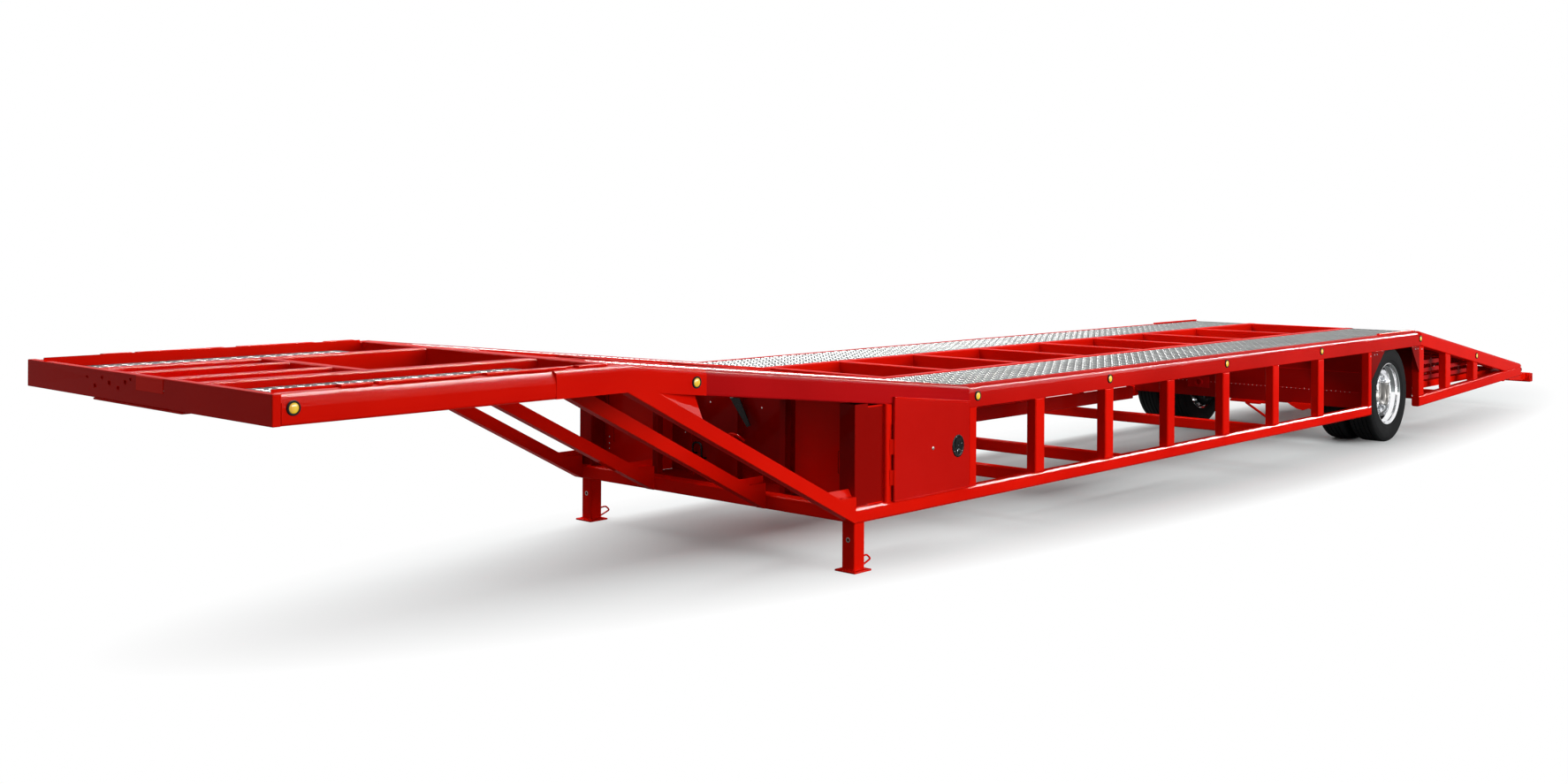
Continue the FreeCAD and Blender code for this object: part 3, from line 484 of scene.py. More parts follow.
neckLow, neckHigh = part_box("neck_side_beams")
deckLow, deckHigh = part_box("deck_side_beams")
kneeX, deckFront, crestX = neckLow.x, deckHigh.x, deckLow.x
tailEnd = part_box("tail_side_beams")[0].x
neckOuter, frameOuter = neckHigh.y, deckHigh.y
neckTop, deckTop = neckHigh.z, deckHigh.z


def beamUnder(x):
    # underside of the side beam over the slope and the deck
    if x < deckFront:
        return deckLow.z
    return deckLow.z + (neckLow.z - deckLow.z) * (x - deckFront) / (kneeX - deckFront)


def strutTop(x):
    # upper edge of the neck struts
    strut = {"footX": 4.2435, "footZ": 0.39, "rise": 0.515}
    return strut["footZ"] + strut["rise"] * (x - strut["footX"])


# Frame members: the CAD solids with eased long edges, square at their ends

curvedMembers = ("coupler_plate", "suspension_arms", "wheel_well_plates")
tubeMembers = ("neck_struts", "neck_side_beams")    # rounder corners than folded plate has
# shadedMembers take the darkest red, as painted shade
shadedMembers = ("front_bulkhead", "wheel_well_plates", "suspension_arms", "leg_sleeves")
deepMembers = {"slope_side_beams": enamelDeep, "deck_side_beams": enamelMildShade}    # darker copies of the red, as painted shade
memberCorners = {  # node: (corner radius, shortest edge that is rounded, top corner radius), all mm
    "neck_side_beams": (16, 600, 66), "slope_side_beams": (12, 600, 34),
    "deck_side_beams": (8, 1500, 70), "tail_side_beams": (10, 600, 34),
    "floor_chords": (12, 400, 0), "neck_rails": (8, 300, 0), "neck_crossmembers": (5, 120, 0),
    "deck_rails": (9, 1500, 0), "deck_crossmembers": (6, 300, 0), "deck_outriggers": (5, 120, 0),
    "floor_crossmembers": (8, 400, 0), "side_posts": (7, 100, 0), "neck_struts": (14, 500, 0),
    "leg_sleeves": (3, 300, 0), "front_bulkhead": (3, 200, 0), "coupler_plate": (2, 300, 0),
    "rear_bumper": (7, 60, 0), "wheel_well_plates": (1, 100, 0), "tie_down_strips": (3, 100, 0),
    "suspension_arms": (3, 40, 0)}


def softMember(node, radius, longerThan, topRadius=0.0, material=enamelRed, body="trailer",
               segments=1):
    # a merged copy of the node with its long edges eased and its short ends left square
    member = {"flatAngle": 0.6, "sharpAngle": 30, "topSegments": 8}
    source = frame["nodes"][node]
    piece = bpy.data.objects.new(node + "_soft", source.data.copy())
    piece.data.name = piece.name
    bpy.context.collection.objects.link(piece)
    makeActive(piece)
    bpy.ops.object.mode_set(mode="EDIT")
    bpy.ops.mesh.select_all(action="SELECT")
    bpy.ops.mesh.remove_doubles(threshold=mergeGap)
    bpy.ops.mesh.dissolve_limited(angle_limit=math.radians(member["flatAngle"]))
    objectMode()
    sharp = math.radians(member["sharpAngle"])

    def isLong(edge):
        return (edge.calc_length() > longerThan and edge.is_manifold
                and edge.calc_face_angle(0) > sharp)

    def isOuterTop(edge):
        outward = max(face.normal.y * edge.verts[0].co.y for face in edge.link_faces)
        upward = max(face.normal.z for face in edge.link_faces)
        return isLong(edge) and outward > 0.8 and upward > 0.8

    if topRadius:
        editEdges(piece, isOuterTop)
        bpy.ops.mesh.bevel(offset=topRadius, segments=member["topSegments"], affect="EDGES",
                           clamp_overlap=False)
        objectMode()
    editEdges(piece, isLong)
    bpy.ops.mesh.bevel(offset=radius, segments=segments, affect="EDGES", clamp_overlap=True)
    objectMode()
    if topRadius or segments > 1 or node in curvedMembers:
        evenShading(piece)
    return finish(piece, material, node, body=body)


for node, (radius, longer, topRadius) in memberCorners.items():
    paint = enamelShadow if node in shadedMembers else deepMembers.get(node, enamelRed)
    softMember(node, radius * mm, longer * mm, topRadius * mm, paint,
               segments=3 if node in tubeMembers else 1)
print("frame members rounded")


# Runways: raised lugs on the tread plates, in rows that lean one way and then the other

def layLugs(name, box, fallFront, fallRear, worn=1.0):
    # box is the plate's; fallFront and fallRear are the heights of its top at its two ends. The
    # lugs are drawn larger and wider apart than rolled ones, so that they show
    lugs = {"long": 40, "wide": 13, "high": 1.3, "rowPitch": 52, "across": 10, "edge": 46, "lean": 45,
            "topLong": 0.72, "topWide": 0.5}
    low, high = box
    run = Vector((low.x - high.x, 0, fallRear - fallFront))
    rows = int((run.length - lugs["edge"] * mm) / (lugs["rowPitch"] * mm))
    narrow = (min(high.y, neckInner) if high.x > kneeX - 1 * mm else high.y) - low.y
    acrossPitch = (narrow - lugs["edge"] * mm) / (lugs["across"] - 1)
    sets = []
    for first, lean in ((0, lugs["lean"]), (1, -lugs["lean"])):
        clearPick()
        bpy.ops.mesh.primitive_cylinder_add(vertices=8, radius=0.5, depth=1, location=(0, 0, 0))
        lug = named(bpy.context.object, name)
        lug.scale = (lugs["long"] * mm, lugs["wide"] * mm, lugs["high"] * worn * mm)
        lug.location.z = lugs["high"] * worn * mm / 2
        settle(lug)
        editFaces(lug, lambda face: face.normal.z > 0.9)
        bpy.ops.transform.resize(value=(lugs["topLong"], lugs["topWide"], 1))
        objectMode()
        editFaces(lug, lambda face: face.normal.z < -0.9)
        bpy.ops.mesh.delete(type="FACE")
        objectMode()
        lug.data.transform(Matrix.Rotation(math.radians(lean), 4, "Z"))
        makeActive(lug)
        for count, step in (((rows - first + 1) // 2, (2 * lugs["rowPitch"] * mm, 0, 0)),
                            (lugs["across"], (0, acrossPitch, 0))):
            repeat = lug.modifiers.new("rows", "ARRAY")
            repeat.count = count
            repeat.use_relative_offset = False
            repeat.use_constant_offset = True
            repeat.constant_offset_displace = step
            bpy.ops.object.modifier_apply(modifier=repeat.name)
        lug.data.transform(Matrix.Translation(((first + 0.5) * lugs["rowPitch"] * mm,
                                               lugs["edge"] * mm / 2, 0)))
        sets.append(lug)
    lug = joinAll(sets, name)
    # from the flat into the plate's own plane
    along = run.normalized()
    across = Vector((0, 1, 0))
    up = across.cross(along)
    turn = Matrix(((along.x, across.x, up.x, high.x), (along.y, across.y, up.y, low.y),
                   (along.z, across.z, up.z, fallFront), (0, 0, 0, 1)))
    lug.data.transform(turn)
    if turn.determinant() < 0:
        lug.data.flip_normals()
    return lug


neckInner = 1146 * mm    # where the side beam covers the neck's runway
plateThick = 6 * mm
neckPlate = leftBoxes("neck_treadways")[0]
slopePlate, deckPlate, tailPlate = leftBoxes("deck_treadways")
runways = {  # name: (box, height of its top in front, and at the back, how worn its lugs are)
    "neck_lugs": (neckPlate, neckPlate[1].z, neckPlate[1].z, 0.6),
    "slope_lugs": (slopePlate, slopePlate[1].z, deckPlate[1].z, 0.6),
    "deck_lugs": (deckPlate, deckPlate[1].z, deckPlate[1].z, 1.0),
    "tail_lugs": (tailPlate, tailPlate[1].z, tailPlate[0].z + plateThick, 1.0)}
for name, (box, front, rear, worn) in runways.items():
    bothSides(layLugs(name, box, front, rear, worn), lugAluminium)
print("runway lugs laid")


# Lamps: a lens in a rubber ring, on each side marker and on each rear lamp

def fitLamps(node, places, steps, axis, turned):
    # turned holds (piece name, profile, material); the last one stands for the node
    for name, profile, material in turned:
        base = turnedPiece(name, profile, (0, 0, 0), steps, axis, 30)
        nodes = [node] if name == turned[-1][0] else []
        bothSides(spreadOut(base, name, places), material, *nodes)


def makeMarkers():
    lamp = {"grommet": 33, "lens": 24.5, "proud": 9}
    inside = lamp["lens"] - 1
    ring = [(inside, 0), (inside, 5.5), (26, 7.5), (29.5, 7.8), (32.3, 5.5), (lamp["grommet"], 2),
            (lamp["grommet"], 0), (inside, 0)]
    dome = [(0, lamp["proud"]), (7, 8.9), (13, 8.5), (15, 8.2), (15.8, 7.5), (16.6, 8.0), (20, 7.2),
            (22.8, 5.6), (lamp["lens"], 3), (lamp["lens"], 0), (0, 0)]
    places = [((low.x + high.x) / 2, low.y, (low.z + high.z) / 2)
              for low, high in leftBoxes("marker_lamps")]
    fitLamps("marker_lamps", places, 40, "Y", [("marker_grommets", ring, seatRubber),
                                               ("marker_lenses", dome, amberLens)])


def makeRearLamps():
    lamp = {"bezel": 16, "lens": 12.5, "proud": 8}
    inside = lamp["lens"] - 1
    ring = [(inside, 0), (inside, -5), (13.5, -6.5), (15, -6), (lamp["bezel"], -3), (lamp["bezel"], 0),
            (inside, 0)]
    dome = [(0, -lamp["proud"]), (5, -7.8), (9, -7), (11.5, -5), (lamp["lens"], -2),
            (lamp["lens"], 0), (0, 0)]
    places = [(high.x, (low.y + high.y) / 2, (low.z + high.z) / 2)
              for low, high in leftBoxes("rear_lamps")]
    fitLamps("rear_lamps", places, 32, "X", [("rear_bezels", ring, seatRubber),
                                             ("rear_lenses", dome, redLens)])


makeMarkers()
makeRearLamps()
print("lamps fitted")


# Wheels

def onCircle(centre, radius, count, shift=0.0):
    # (x, z) of each of count places on a circle about the axle's line
    turns = [2 * math.pi * (i + shift) / count for i in range(count)]
    return [(centre.x + radius * mm * math.cos(turn), centre.z + radius * mm * math.sin(turn))
            for turn in turns]


def makeTyres(centre, middles):
    # half of a tyre's section from the tread's middle to the bead, as (radius, across)
    tyre = {"spinSteps": 120, "tread": 465, "groove": 453, "worn": 463.6}
    top, floor, lip = tyre["tread"], tyre["groove"], tyre["worn"]
    half = [(top, 0), (top, 17), (lip, 18), (floor, 19), (floor, 25), (lip, 26), (top, 27), (top, 57),
            (lip, 58), (floor, 59), (floor, 66), (lip, 67), (top, 68), (464.6, 82), (463, 94),
            (459, 104), (452, 112.5), (450, 113), (447, 111.6), (444, 114.6), (438, 118.5), (430, 121.8),
            (421, 124), (419.5, 122.8), (417.5, 122.8), (416, 125), (400, 126.8), (376, 127.5),
            (352, 126.6), (336, 124.8), (334.4, 126), (330.6, 125.7), (329, 123.6), (318, 121),
            (310, 118), (306, 119.6), (300.5, 118.8), (298.6, 114.5), (293, 109), (287, 107)]
    section = half + [(radius, -across) for radius, across in reversed(half[1:])] + [half[0]]
    tyres = [turnedPiece("tyre", section, (centre.x, middle, centre.z), tyre["spinSteps"], degrees=28)
             for middle in middles]
    bothSides(joinAll(tyres, "twin_tyres"), tyreRubber, "tyres_SIDE", body="wheels_SIDE")


def makeRims(centre, middles, discY):
    rim = {"spinSteps": 120, "handHoles": 10, "handCircle": 196, "handRadius": 29, "drillReach": 60}
    # a rim's wall: from the flange down the polished barrel to the disc's face, and back outside
    wall = [(298, 110), (297, 114), (293, 115.3), (288, 113.5), (284.5, 108), (281, 103), (279, 96),
            (277, 88), (276.5, 76), (271, 62), (261, 50), (255, 40), (252, 24), (252, -50), (250, -64),
            (245, -80), (239, -98), (232, -114), (224, -124), (212, -129), (200, -130), (112, -130),
            (112, -150), (228, -150), (238, -146), (246, -132), (254, -108), (260, -86), (262, -64),
            (262, 24), (268, 44), (280, 60), (286.5, 72), (286.5, 106), (298, 110)]
    innerHalf = [(252, -40), (262, -40), (270, -56), (286.5, -72), (286.5, -106), (298, -110),
                 (297, -114), (293, -115.3), (284.5, -108), (279, -96), (276.5, -76), (262, -52),
                 (252, -40)]
    rims = []
    for middle, way in zip(middles, (1, -1)):
        place = (centre.x, middle, centre.z)
        disc = turnedPiece("rim", [(radius, way * across) for radius, across in wall], place,
                           rim["spinSteps"])
        reach = rim["drillReach"] * mm
        holes = [rodPiece("hole", (x, discY - reach, z), (x, discY + reach, z),
                          rim["handRadius"] * mm, 28)
                 for x, z in onCircle(centre, rim["handCircle"], rim["handHoles"], 0.5)]
        cutWith(disc, joinAll(holes, "holes"))
        back = turnedPiece("rimBack", [(radius, way * across) for radius, across in innerHalf], place,
                           rim["spinSteps"])
        rims += [disc, back]
    bothSides(joinAll(rims, "polished_rims", 28), polishedAluminium, "rims_SIDE", body="wheels_SIDE")


def makeHub(centre, discY):
    # hub, its cap and the brake drum
    hub = {"capBolts": 6, "capBoltCircle": 97, "capBoltRadius": 8, "nuts": 10, "nutCircle": 142.9,
           "nutSeat": 20, "chamfer": 0.86}
    hubAt = (centre.x, discY, centre.z)
    cap = [(0, 116), (14, 116), (15, 112), (60, 112), (62, 114), (76, 114), (82, 111), (86, 104),
           (87, 94), (104, 93), (109, 88), (110, 80), (110, 22), (108, 20), (108, -20), (110, -40),
           (0, -40), (0, 116)]
    drumWall = [(60, -95), (172, -95), (176, -100), (205, -118), (208, -124), (208, -150), (205, -152),
                (205, -158), (208, -160), (208, -200), (205, -202), (205, -208), (208, -210),
                (208, -262), (205, -266), (205, -272), (208, -275.4), (196, -275.4), (196, -130),
                (60, -110), (60, -95)]
    metal = [turnedPiece("hubCap", cap, hubAt, 72), turnedPiece("drum", drumWall, hubAt, 96)]
    for x, z in onCircle(centre, hub["capBoltCircle"], hub["capBolts"]):
        metal.append(rodPiece("capBolt", (x, discY + 90 * mm, z), (x, discY + 101 * mm, z),
                              hub["capBoltRadius"] * mm, 6))
    bothSides(joinAll(metal, "hub_and_drum", 30), machinedSteel, "hub_SIDE", body="wheels_SIDE")

    # wheel nuts on their washers, over the ends of the studs
    nuts = []
    seat = discY + hub["nutSeat"] * mm
    for x, z in onCircle(centre, hub["nutCircle"], hub["nuts"]):
        for radius, start, stop, sides in ((23, 0, 5, 20), (19, 5, 26, 6), (11, 26, 38, 14)):
            nut = rodPiece("nut", (x, seat + start * mm, z), (x, seat + stop * mm, z),
                           radius * mm, sides)
            editFaces(nut, lambda face: face.normal.y > 0.9)
            bpy.ops.transform.resize(value=(hub["chamfer"], 1, hub["chamfer"]))
            objectMode()
            nuts.append(nut)
    bothSides(joinAll(nuts, "wheel_nuts", 30), zincSteel, body="wheels_SIDE")


tyreLow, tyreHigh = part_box("tyres_left")
wheelCentre = Vector(((tyreLow.x + tyreHigh.x) / 2, 0, (tyreLow.z + tyreHigh.z) / 2))
twinMiddles = sorted([(low.y + high.y) / 2 for low, high in leftBoxes("tyres_left")], reverse=True)
twinY = sum(twinMiddles) / 2    # where the two discs meet on the hub
makeTyres(wheelCentre, twinMiddles)
makeRims(wheelCentre, twinMiddles, twinY)
makeHub(wheelCentre, twinY)
print("wheels turned")


# Toolbox doors with their drip edge, latch and button

def makeDoors():
    door = {"edge": 5, "longEdge": 500, "backFromEdge": 5, "panelLong": 774, "panelAboveBeam": 48,
            "dripWide": 7, "dripRound": 2.2, "fold": 1.6, "foldIn": 6, "foldUp": 8, "foldDown": 14}
    low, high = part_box("toolbox_door_left")
    face = high.y - door["backFromEdge"] * mm
    for side in ("left", "right"):
        # the doors take the red darkened a little, as painted shade
        softMember("toolbox_door_" + side, door["edge"] * mm, door["longEdge"] * mm,
                   material=enamelMildShade, body="door_" + side, segments=2)
    rear, front = low.x, low.x + door["panelLong"] * mm
    topRear, topFront = [beamUnder(x) + door["panelAboveBeam"] * mm for x in (rear, front)]
    # rolled drip edge along the top and a folded lip round the other three sides
    top, under = 1 * mm, (1 + door["dripWide"]) * mm
    drip = platePiece("drip", [(rear, topRear - top), (front, topFront - top),
                               (front, topFront - under), (rear, topRear - under)],
                      face - 1 * mm, face + 4 * mm)
    bevelEdges(drip, door["dripRound"] * mm, 3)
    foldRear, foldFront = rear + door["foldIn"] * mm, front - door["foldIn"] * mm
    foldLow = low.z + door["foldUp"] * mm
    lip = [(foldRear, foldLow), (foldFront, foldLow), (foldFront, topFront - door["foldDown"] * mm),
           (foldRear, topRear - door["foldDown"] * mm), (foldRear, foldLow)]
    folds = [bentRod("fold", [(x, face, z) for x, z in pair], door["fold"] * mm, 8)
             for pair in zip(lip, lip[1:])]
    bothSides(joinAll([drip] + folds, "door_trim"), enamelRed, body="door_SIDE")
    makeLatch(face)
    makeButton(face, front)


def makeLatch(face):
    # oval paddle latch: rim, sunk well, paddle and a round lock
    latch = {"plan": 50, "paddleHalf": 30, "paddleLow": -8, "paddleHigh": 52, "paddleProud": 4.6,
             "lockBack": 4, "lockDown": 36, "lockRadius": 12, "guard": 15}
    low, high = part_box("door_latch_left")
    x, z = (low.x + high.x) / 2, (low.z + high.z) / 2
    halfX, halfZ = (high.x - low.x) / 2, (high.z - low.z) / 2
    plan = [(1.0, 0), (1.0, 2.4), (0.97, 3.4), (0.9, 4.0), (0.84, 3.6), (0.8, 1.4), (0, 1.2), (0, 0),
            (1.0, 0)]    # the radius as a share of the oval's
    bowl = turnedPiece("bowl", [(share * latch["plan"], rise) for share, rise in plan], (0, 0, 0), 64)
    bowl.data.transform(Matrix.Diagonal((halfX / (latch["plan"] * mm), 1,
                                         halfZ / (latch["plan"] * mm), 1)))
    bowl.data.transform(Matrix.Translation((x, low.y, z)))
    evenShading(bowl, 40)
    reach = latch["paddleHalf"] * mm
    paddle = blockPiece("paddle", (x - reach, face + 1 * mm, z + latch["paddleLow"] * mm),
                        (x + reach, face + latch["paddleProud"] * mm, z + latch["paddleHigh"] * mm))
    bevelEdges(paddle, 1.6 * mm, 3)
    lockX, lockZ = x - latch["lockBack"] * mm, z - latch["lockDown"] * mm
    knob = turnedPiece("knob", [(0, 4.9), (9, 4.9), (11, 3.6), (latch["lockRadius"], 0), (0, 0)],
                       (lockX, face, lockZ), 28, degrees=30)
    bothSides(joinAll([bowl, paddle, knob], "latch_body"), latchCoat, "door_latch_SIDE",
              body="door_SIDE")
    screw = [(0, 1.3), (2, 1.1), (3, 0.2), (0, 0.2)]
    fixings = [turnedPiece("screw", screw, (x + dx * halfX, face + 3.6 * mm, z + dz * halfZ), 12)
               for dx, dz in ((0.35, 0.82), (-0.55, 0.20), (0.05, 0.05), (-0.60, -0.45), (0.62, -0.45))]
    guard = []
    for degrees in range(-40, 161, 20):
        turn = math.radians(degrees)
        guard.append((lockX + latch["guard"] * mm * math.cos(turn), face + 2.6 * mm,
                      lockZ + latch["guard"] * mm * math.sin(turn)))
    fixings.append(bentRod("guard", guard, 1.6 * mm, 8))    # bright, round part of the lock
    bothSides(joinAll(fixings, "latch_fixings", 30), zincSteel, body="door_SIDE")


def makeButton(face, front):
    button = {"radius": 12, "behindFront": 385, "height": 676}
    dome = [(0, 4), (7, 3.6), (10.5, 2.4), (button["radius"], 0.6), (button["radius"], 0), (0, 0)]
    place = (front - button["behindFront"] * mm, face, button["height"] * mm)
    bothSides(turnedPiece("door_button", dome, place, 32, degrees=30), machinedSteel,
              body="door_SIDE")


makeDoors()
print("doors hung")


# Small makers used from here on

def facePlate(name, outline, x0, x1):
    # a plate cut to an outline of (y, z) points, standing between x0 and x1
    piece = platePiece(name, outline, -x0, -x1)
    piece.data.transform(Matrix.Rotation(math.pi / 2, 4, "Z"))
    return piece


def softBlock(name, low, high, radius, segments=2):
    return bevelEdges(blockPiece(name, low, high), radius * mm, segments)


def weldBead(points, radius=4.0, pitch=14.0):
    # a run of weld through the points, its ripples a pitch apart
    path = [Vector(points[0])]
    for start, end in zip(points, points[1:]):
        start, end = Vector(start), Vector(end)
        steps = max(1, int((end - start).length / (pitch * mm)))
        path += [start.lerp(end, (i + 1) / steps) for i in range(steps)]
    return bentRod("bead", path, radius * mm, 4, 0.22)


def rivetHeads(name, places, radius):
    # low round heads standing on a wall that faces forward
    dome = [(0, 0.5 * radius), (0.5 * radius, 0.42 * radius), (0.85 * radius, 0.2 * radius),
            (radius, 0), (0, 0)]
    return joinAll([turnedPiece("head", dome, place, 10, "X") for place in places], name, 50)


def hexBolts(name, places, radius, up):
    # a washer and a hexagon head at each place, standing along up
    washer = 3 * mm
    bolts = []
    for place in places:
        foot = Vector(place) + Vector(up) * washer
        bolts.append(rodPiece("washer", place, foot, 1.5 * radius * mm, 14))
        bolts.append(rodPiece("head", foot, foot + Vector(up) * 0.8 * radius * mm, radius * mm, 6))
    return joinAll(bolts, name, 30)


# The knee: a boxed section over the joint of neck and slope, and gussets on the struts

def makeKnee():
    knee = {"front": 6.47, "rear": 5.45, "proud": 2.2, "inward": 30, "shoulder": 28, "sink": 1,
            "under": 1.207, "underRear": 6.0027, "strutFront": 5.79, "strutRear": 5.70,
            "belly": 1.145, "bellyFlare": 1.45}
    fall = (neckTop - deckTop) / (kneeX - deckFront)
    flare = (frameOuter - neckOuter) / (kneeX - deckFront)
    top = neckTop - knee["sink"] * mm
    rearTop = top - fall * (kneeX - knee["rear"])
    box = platePiece("knee_box", [
        (knee["front"], top), (kneeX, top), (knee["rear"], rearTop),
        (knee["rear"], beamUnder(knee["rear"])), (knee["strutFront"], 1.187),
        (knee["strutRear"], 1.140), (knee["strutRear"], 1.052), (knee["underRear"], knee["under"]),
        (knee["front"], knee["under"])],
        neckOuter - knee["inward"] * mm, neckOuter + knee["proud"] * mm)
    for vert in box.data.vertices:
        wider = knee["bellyFlare"] if vert.co.z < knee["belly"] else 1.0
        vert.co.y += flare * max(0, kneeX - vert.co.x) * wider

    def isShoulder(edge):
        outside = all(vert.co.y > neckOuter - 5 * mm for vert in edge.verts)
        upward = max(face.normal.z for face in edge.link_faces)
        return edge.calc_length() > 0.3 and outside and upward > 0.7

    editEdges(box, isShoulder)
    bpy.ops.mesh.bevel(offset=knee["shoulder"] * mm, segments=8, affect="EDGES", clamp_overlap=False)
    objectMode()
    evenShading(box, 50)
    bothSides(box, enamelRed)
    print("knees boxed")


def makeGussets():
    # gussets lean in from the struts' outer edges; the inner struts' stand upright
    gusset = {"thick": 8, "outerY": 1232, "footY": 1206, "innerY": 506, "lean": 0.5, "footLean": 0.6,
              "footTop": 0.50, "lipFront": 7.938, "lipRear": 6.06}
    plates = []
    for name, outline, y, edge in (
            ("knee_gusset", [(5.80, 1.190), (5.47, 1.150), (5.47, 1.024)], gusset["outerY"], 1.5),
            ("foot_gusset", [(4.2435, 0.392), (4.457, gusset["footTop"]), (4.229, gusset["footTop"]),
                             (4.229, 0.392)], gusset["footY"], 1.5),
            ("inner_gusset", [(4.2435, 0.392), (4.457, gusset["footTop"]), (4.229, gusset["footTop"]),
                              (4.229, 0.392)], gusset["innerY"], 2)):
        plate = platePiece(name, outline, y * mm, (y + gusset["thick"]) * mm)
        for vert in plate.data.vertices:
            if name == "knee_gusset":
                vert.co.y -= gusset["lean"] * max(0, vert.co.z - strutTop(vert.co.x))
            if name == "foot_gusset":
                vert.co.y += gusset["footLean"] * (gusset["footTop"] - vert.co.z)
        plates.append(bevelEdges(plate, edge * mm, 2))
    # the lip that stands along the outer edge of the neck's runway
    plates.append(softBlock("lip", (gusset["lipRear"], 1.1405, 1.298),
                            (gusset["lipFront"], 1.1475, 1.3565), 1.5, 1))
    bothSides(joinAll(plates, "strut_gussets"), enamelRed)
    print("gussets set")


makeKnee()
makeGussets()


# The neck's front beam with its wiring ports, and the coupler plate with its kingpin

def makeFrontBeam():
    beam = {"back": 3.0, "edge": 5, "portDepth": 20, "socketWide": 268, "socketLow": 1275,
            "socketHigh": 1343}
    ports = [(-527, 96, 8), (-438, 59, 11), (-361, 103, 9), (-284, 83, 12), (-189, 64, 9),
             (-115, 97, 12), (-60, 113, 9)]    # (y, height above the underside, radius), mm
    low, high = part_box("neck_front_beam")
    face = high.x - beam["back"] * mm
    piece = bevelEdges(blockPiece("front_beam", low, (face, high.y, high.z)), beam["edge"] * mm, 3)
    drills, rings = [], []
    for y, rise, radius in ports:
        at = Vector((face, y * mm, low.z + rise * mm))
        drills.append(rodPiece("drill", at - Vector((beam["portDepth"] * mm, 0, 0)),
                               at + Vector((5 * mm, 0, 0)), radius * mm, 20))
        grommet = [(radius - 1.5, -4), (radius - 1.5, 1.4), (radius + 0.5, 2.2), (radius + 2.4, 1.2),
                   (radius + 3, 0), (radius - 1.5, -4)]
        rings.append(turnedPiece("ring", grommet, at, 24, "X"))
    cutWith(piece, joinAll(drills, "drills"))
    evenShading(piece, 30)
    finish(piece, enamelRed, "neck_front_beam")
    finish(joinAll(rings, "port_rings", 40), enamelRed)
    wide = beam["socketWide"] * mm
    plate = softBlock("front_socket_plate", (face - 1 * mm, 0, beam["socketLow"] * mm),
                      (high.x, wide, beam["socketHigh"] * mm), 2.2)
    finish(plate, enamelBright)
    screw = hexBolts("socket_screws", [(face - 1.2 * mm, wide + 8 * mm, 1.29)], 1.2, (1, 0, 0))
    finish(screw, machinedSteel)


def makeKingpin():
    # the pin with its throat, in the coupler plate's skid ring
    pin = {"behindFront": 760, "neck": 25.4, "head": 35.7, "flange": 36.5, "length": 84}
    profile = [(0, 0), (34, 0), (pin["head"], 2), (pin["head"], 27), (33, 27.8), (pin["neck"], 29),
               (pin["neck"], 60), (30, 62.5), (pin["flange"], 64), (pin["flange"], pin["length"]),
               (0, pin["length"]), (0, 0)]
    place = (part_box("neck_front_beam")[1].x - pin["behindFront"] * mm, 0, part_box("coupler_plate")[0].z)
    finish(turnedPiece("kingpin", profile, place, 48, "Z", 30), machinedSteel)


makeFrontBeam()
makeKingpin()
print("neck front and coupler finished")


# The bay between the two toolboxes: hose hanger, hook, stay and panel fixings

def makeBay():
    bay = {"panelBack": 5, "rod": 7, "hook": 9, "hangerBend": 40, "hookBend": 30}
    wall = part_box("front_bulkhead")[0].x + bay["panelBack"] * mm    # front face of its panel
    stand = wall + 42 * mm
    hanger = bentRod("hose_hanger", rounded([
        (wall - 1 * mm, -0.403, 0.523), (stand, -0.403, 0.523), (stand, -0.403, 0.60),
        (stand, -0.318, 0.60), (stand, -0.318, 0.495), (wall - 1 * mm, -0.318, 0.495)],
        bay["hangerBend"] * mm), bay["rod"] * mm, 12)
    stay = facePlate("stay", [(-0.04, 0.93), (0.05, 0.93), (0.15, 0.76), (0.12, 0.745)],
                     wall + 51 * mm, wall + 59 * mm)
    bevelEdges(stay, 1.5 * mm)
    finish(joinAll([hanger, stay], "bay_hanger"), latchCoat)
    hook = bentRod("hookRod", rounded([
        (wall + 48 * mm, -0.043, 0.655), (wall + 75 * mm, -0.043, 0.67), (wall + 90 * mm, 0.0, 0.70),
        (wall + 90 * mm, 0.07, 0.69), (wall + 60 * mm, 0.103, 0.655)], bay["hookBend"] * mm),
        bay["hook"] * mm, 12)
    pad = softBlock("pad", (wall + 49 * mm, -0.07, 0.625), (wall + 57 * mm, -0.01, 0.685), 2)
    finish(joinAll([hook, pad], "bay_hook"), enamelRed)
    places = [(wall, y, z) for y, z in (
        (-0.278, 0.874), (0.371, 0.868), (-0.52, 0.874), (-0.52, 0.42), (-0.278, 0.42), (0.371, 0.42),
        (0.20, 0.874), (0.20, 0.42), (-0.52, 0.65), (0.371, 0.65), (0.52, 0.65))]
    finish(rivetHeads("bay_rivets", places, 6), zincSteel)


def makeBoxFronts():
    # front walls of the toolboxes: seam strip, cable clip, rivets, and the panel round the corner
    wall = {"seamY": 1.091, "seamWide": 6, "clipY": 1.084, "clipWide": 54, "clipRod": 2.5,
            "clipProud": 8, "rivetY": 1.086}
    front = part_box("toolboxes")[1].x
    proud = front + wall["clipProud"] * mm
    clipEnd = wall["clipY"] - wall["clipWide"] * mm
    seam = softBlock("seam", (front - 1 * mm, wall["seamY"], 0.69),
                     (front + 1.6 * mm, wall["seamY"] + wall["seamWide"] * mm, 0.985), 0.7, 1)
    clip = bentRod("clip", rounded([(front, wall["clipY"], 0.693), (proud, wall["clipY"], 0.693),
                                    (proud, clipEnd, 0.693), (proud, clipEnd, 0.560),
                                    (front, clipEnd, 0.560)], 6 * mm), wall["clipRod"] * mm, 6)
    corner = softBlock("corner", (3.9505, 1.2455, 0.398), (4.1005, 1.2475, 0.975), 0.8, 1)
    # trim and corner panel take the darkest red, as painted shade under the beam's overhang
    bothSides(joinAll([seam, clip, corner], "toolbox_wall_trim"), enamelShadow)
    rivets = rivetHeads("toolbox_rivets", [(front, wall["rivetY"], z) for z in (0.586, 0.542, 0.505)], 6)
    bothSides(rivets, zincSteel)


makeBay()
makeBoxFronts()
print("front bay fitted")


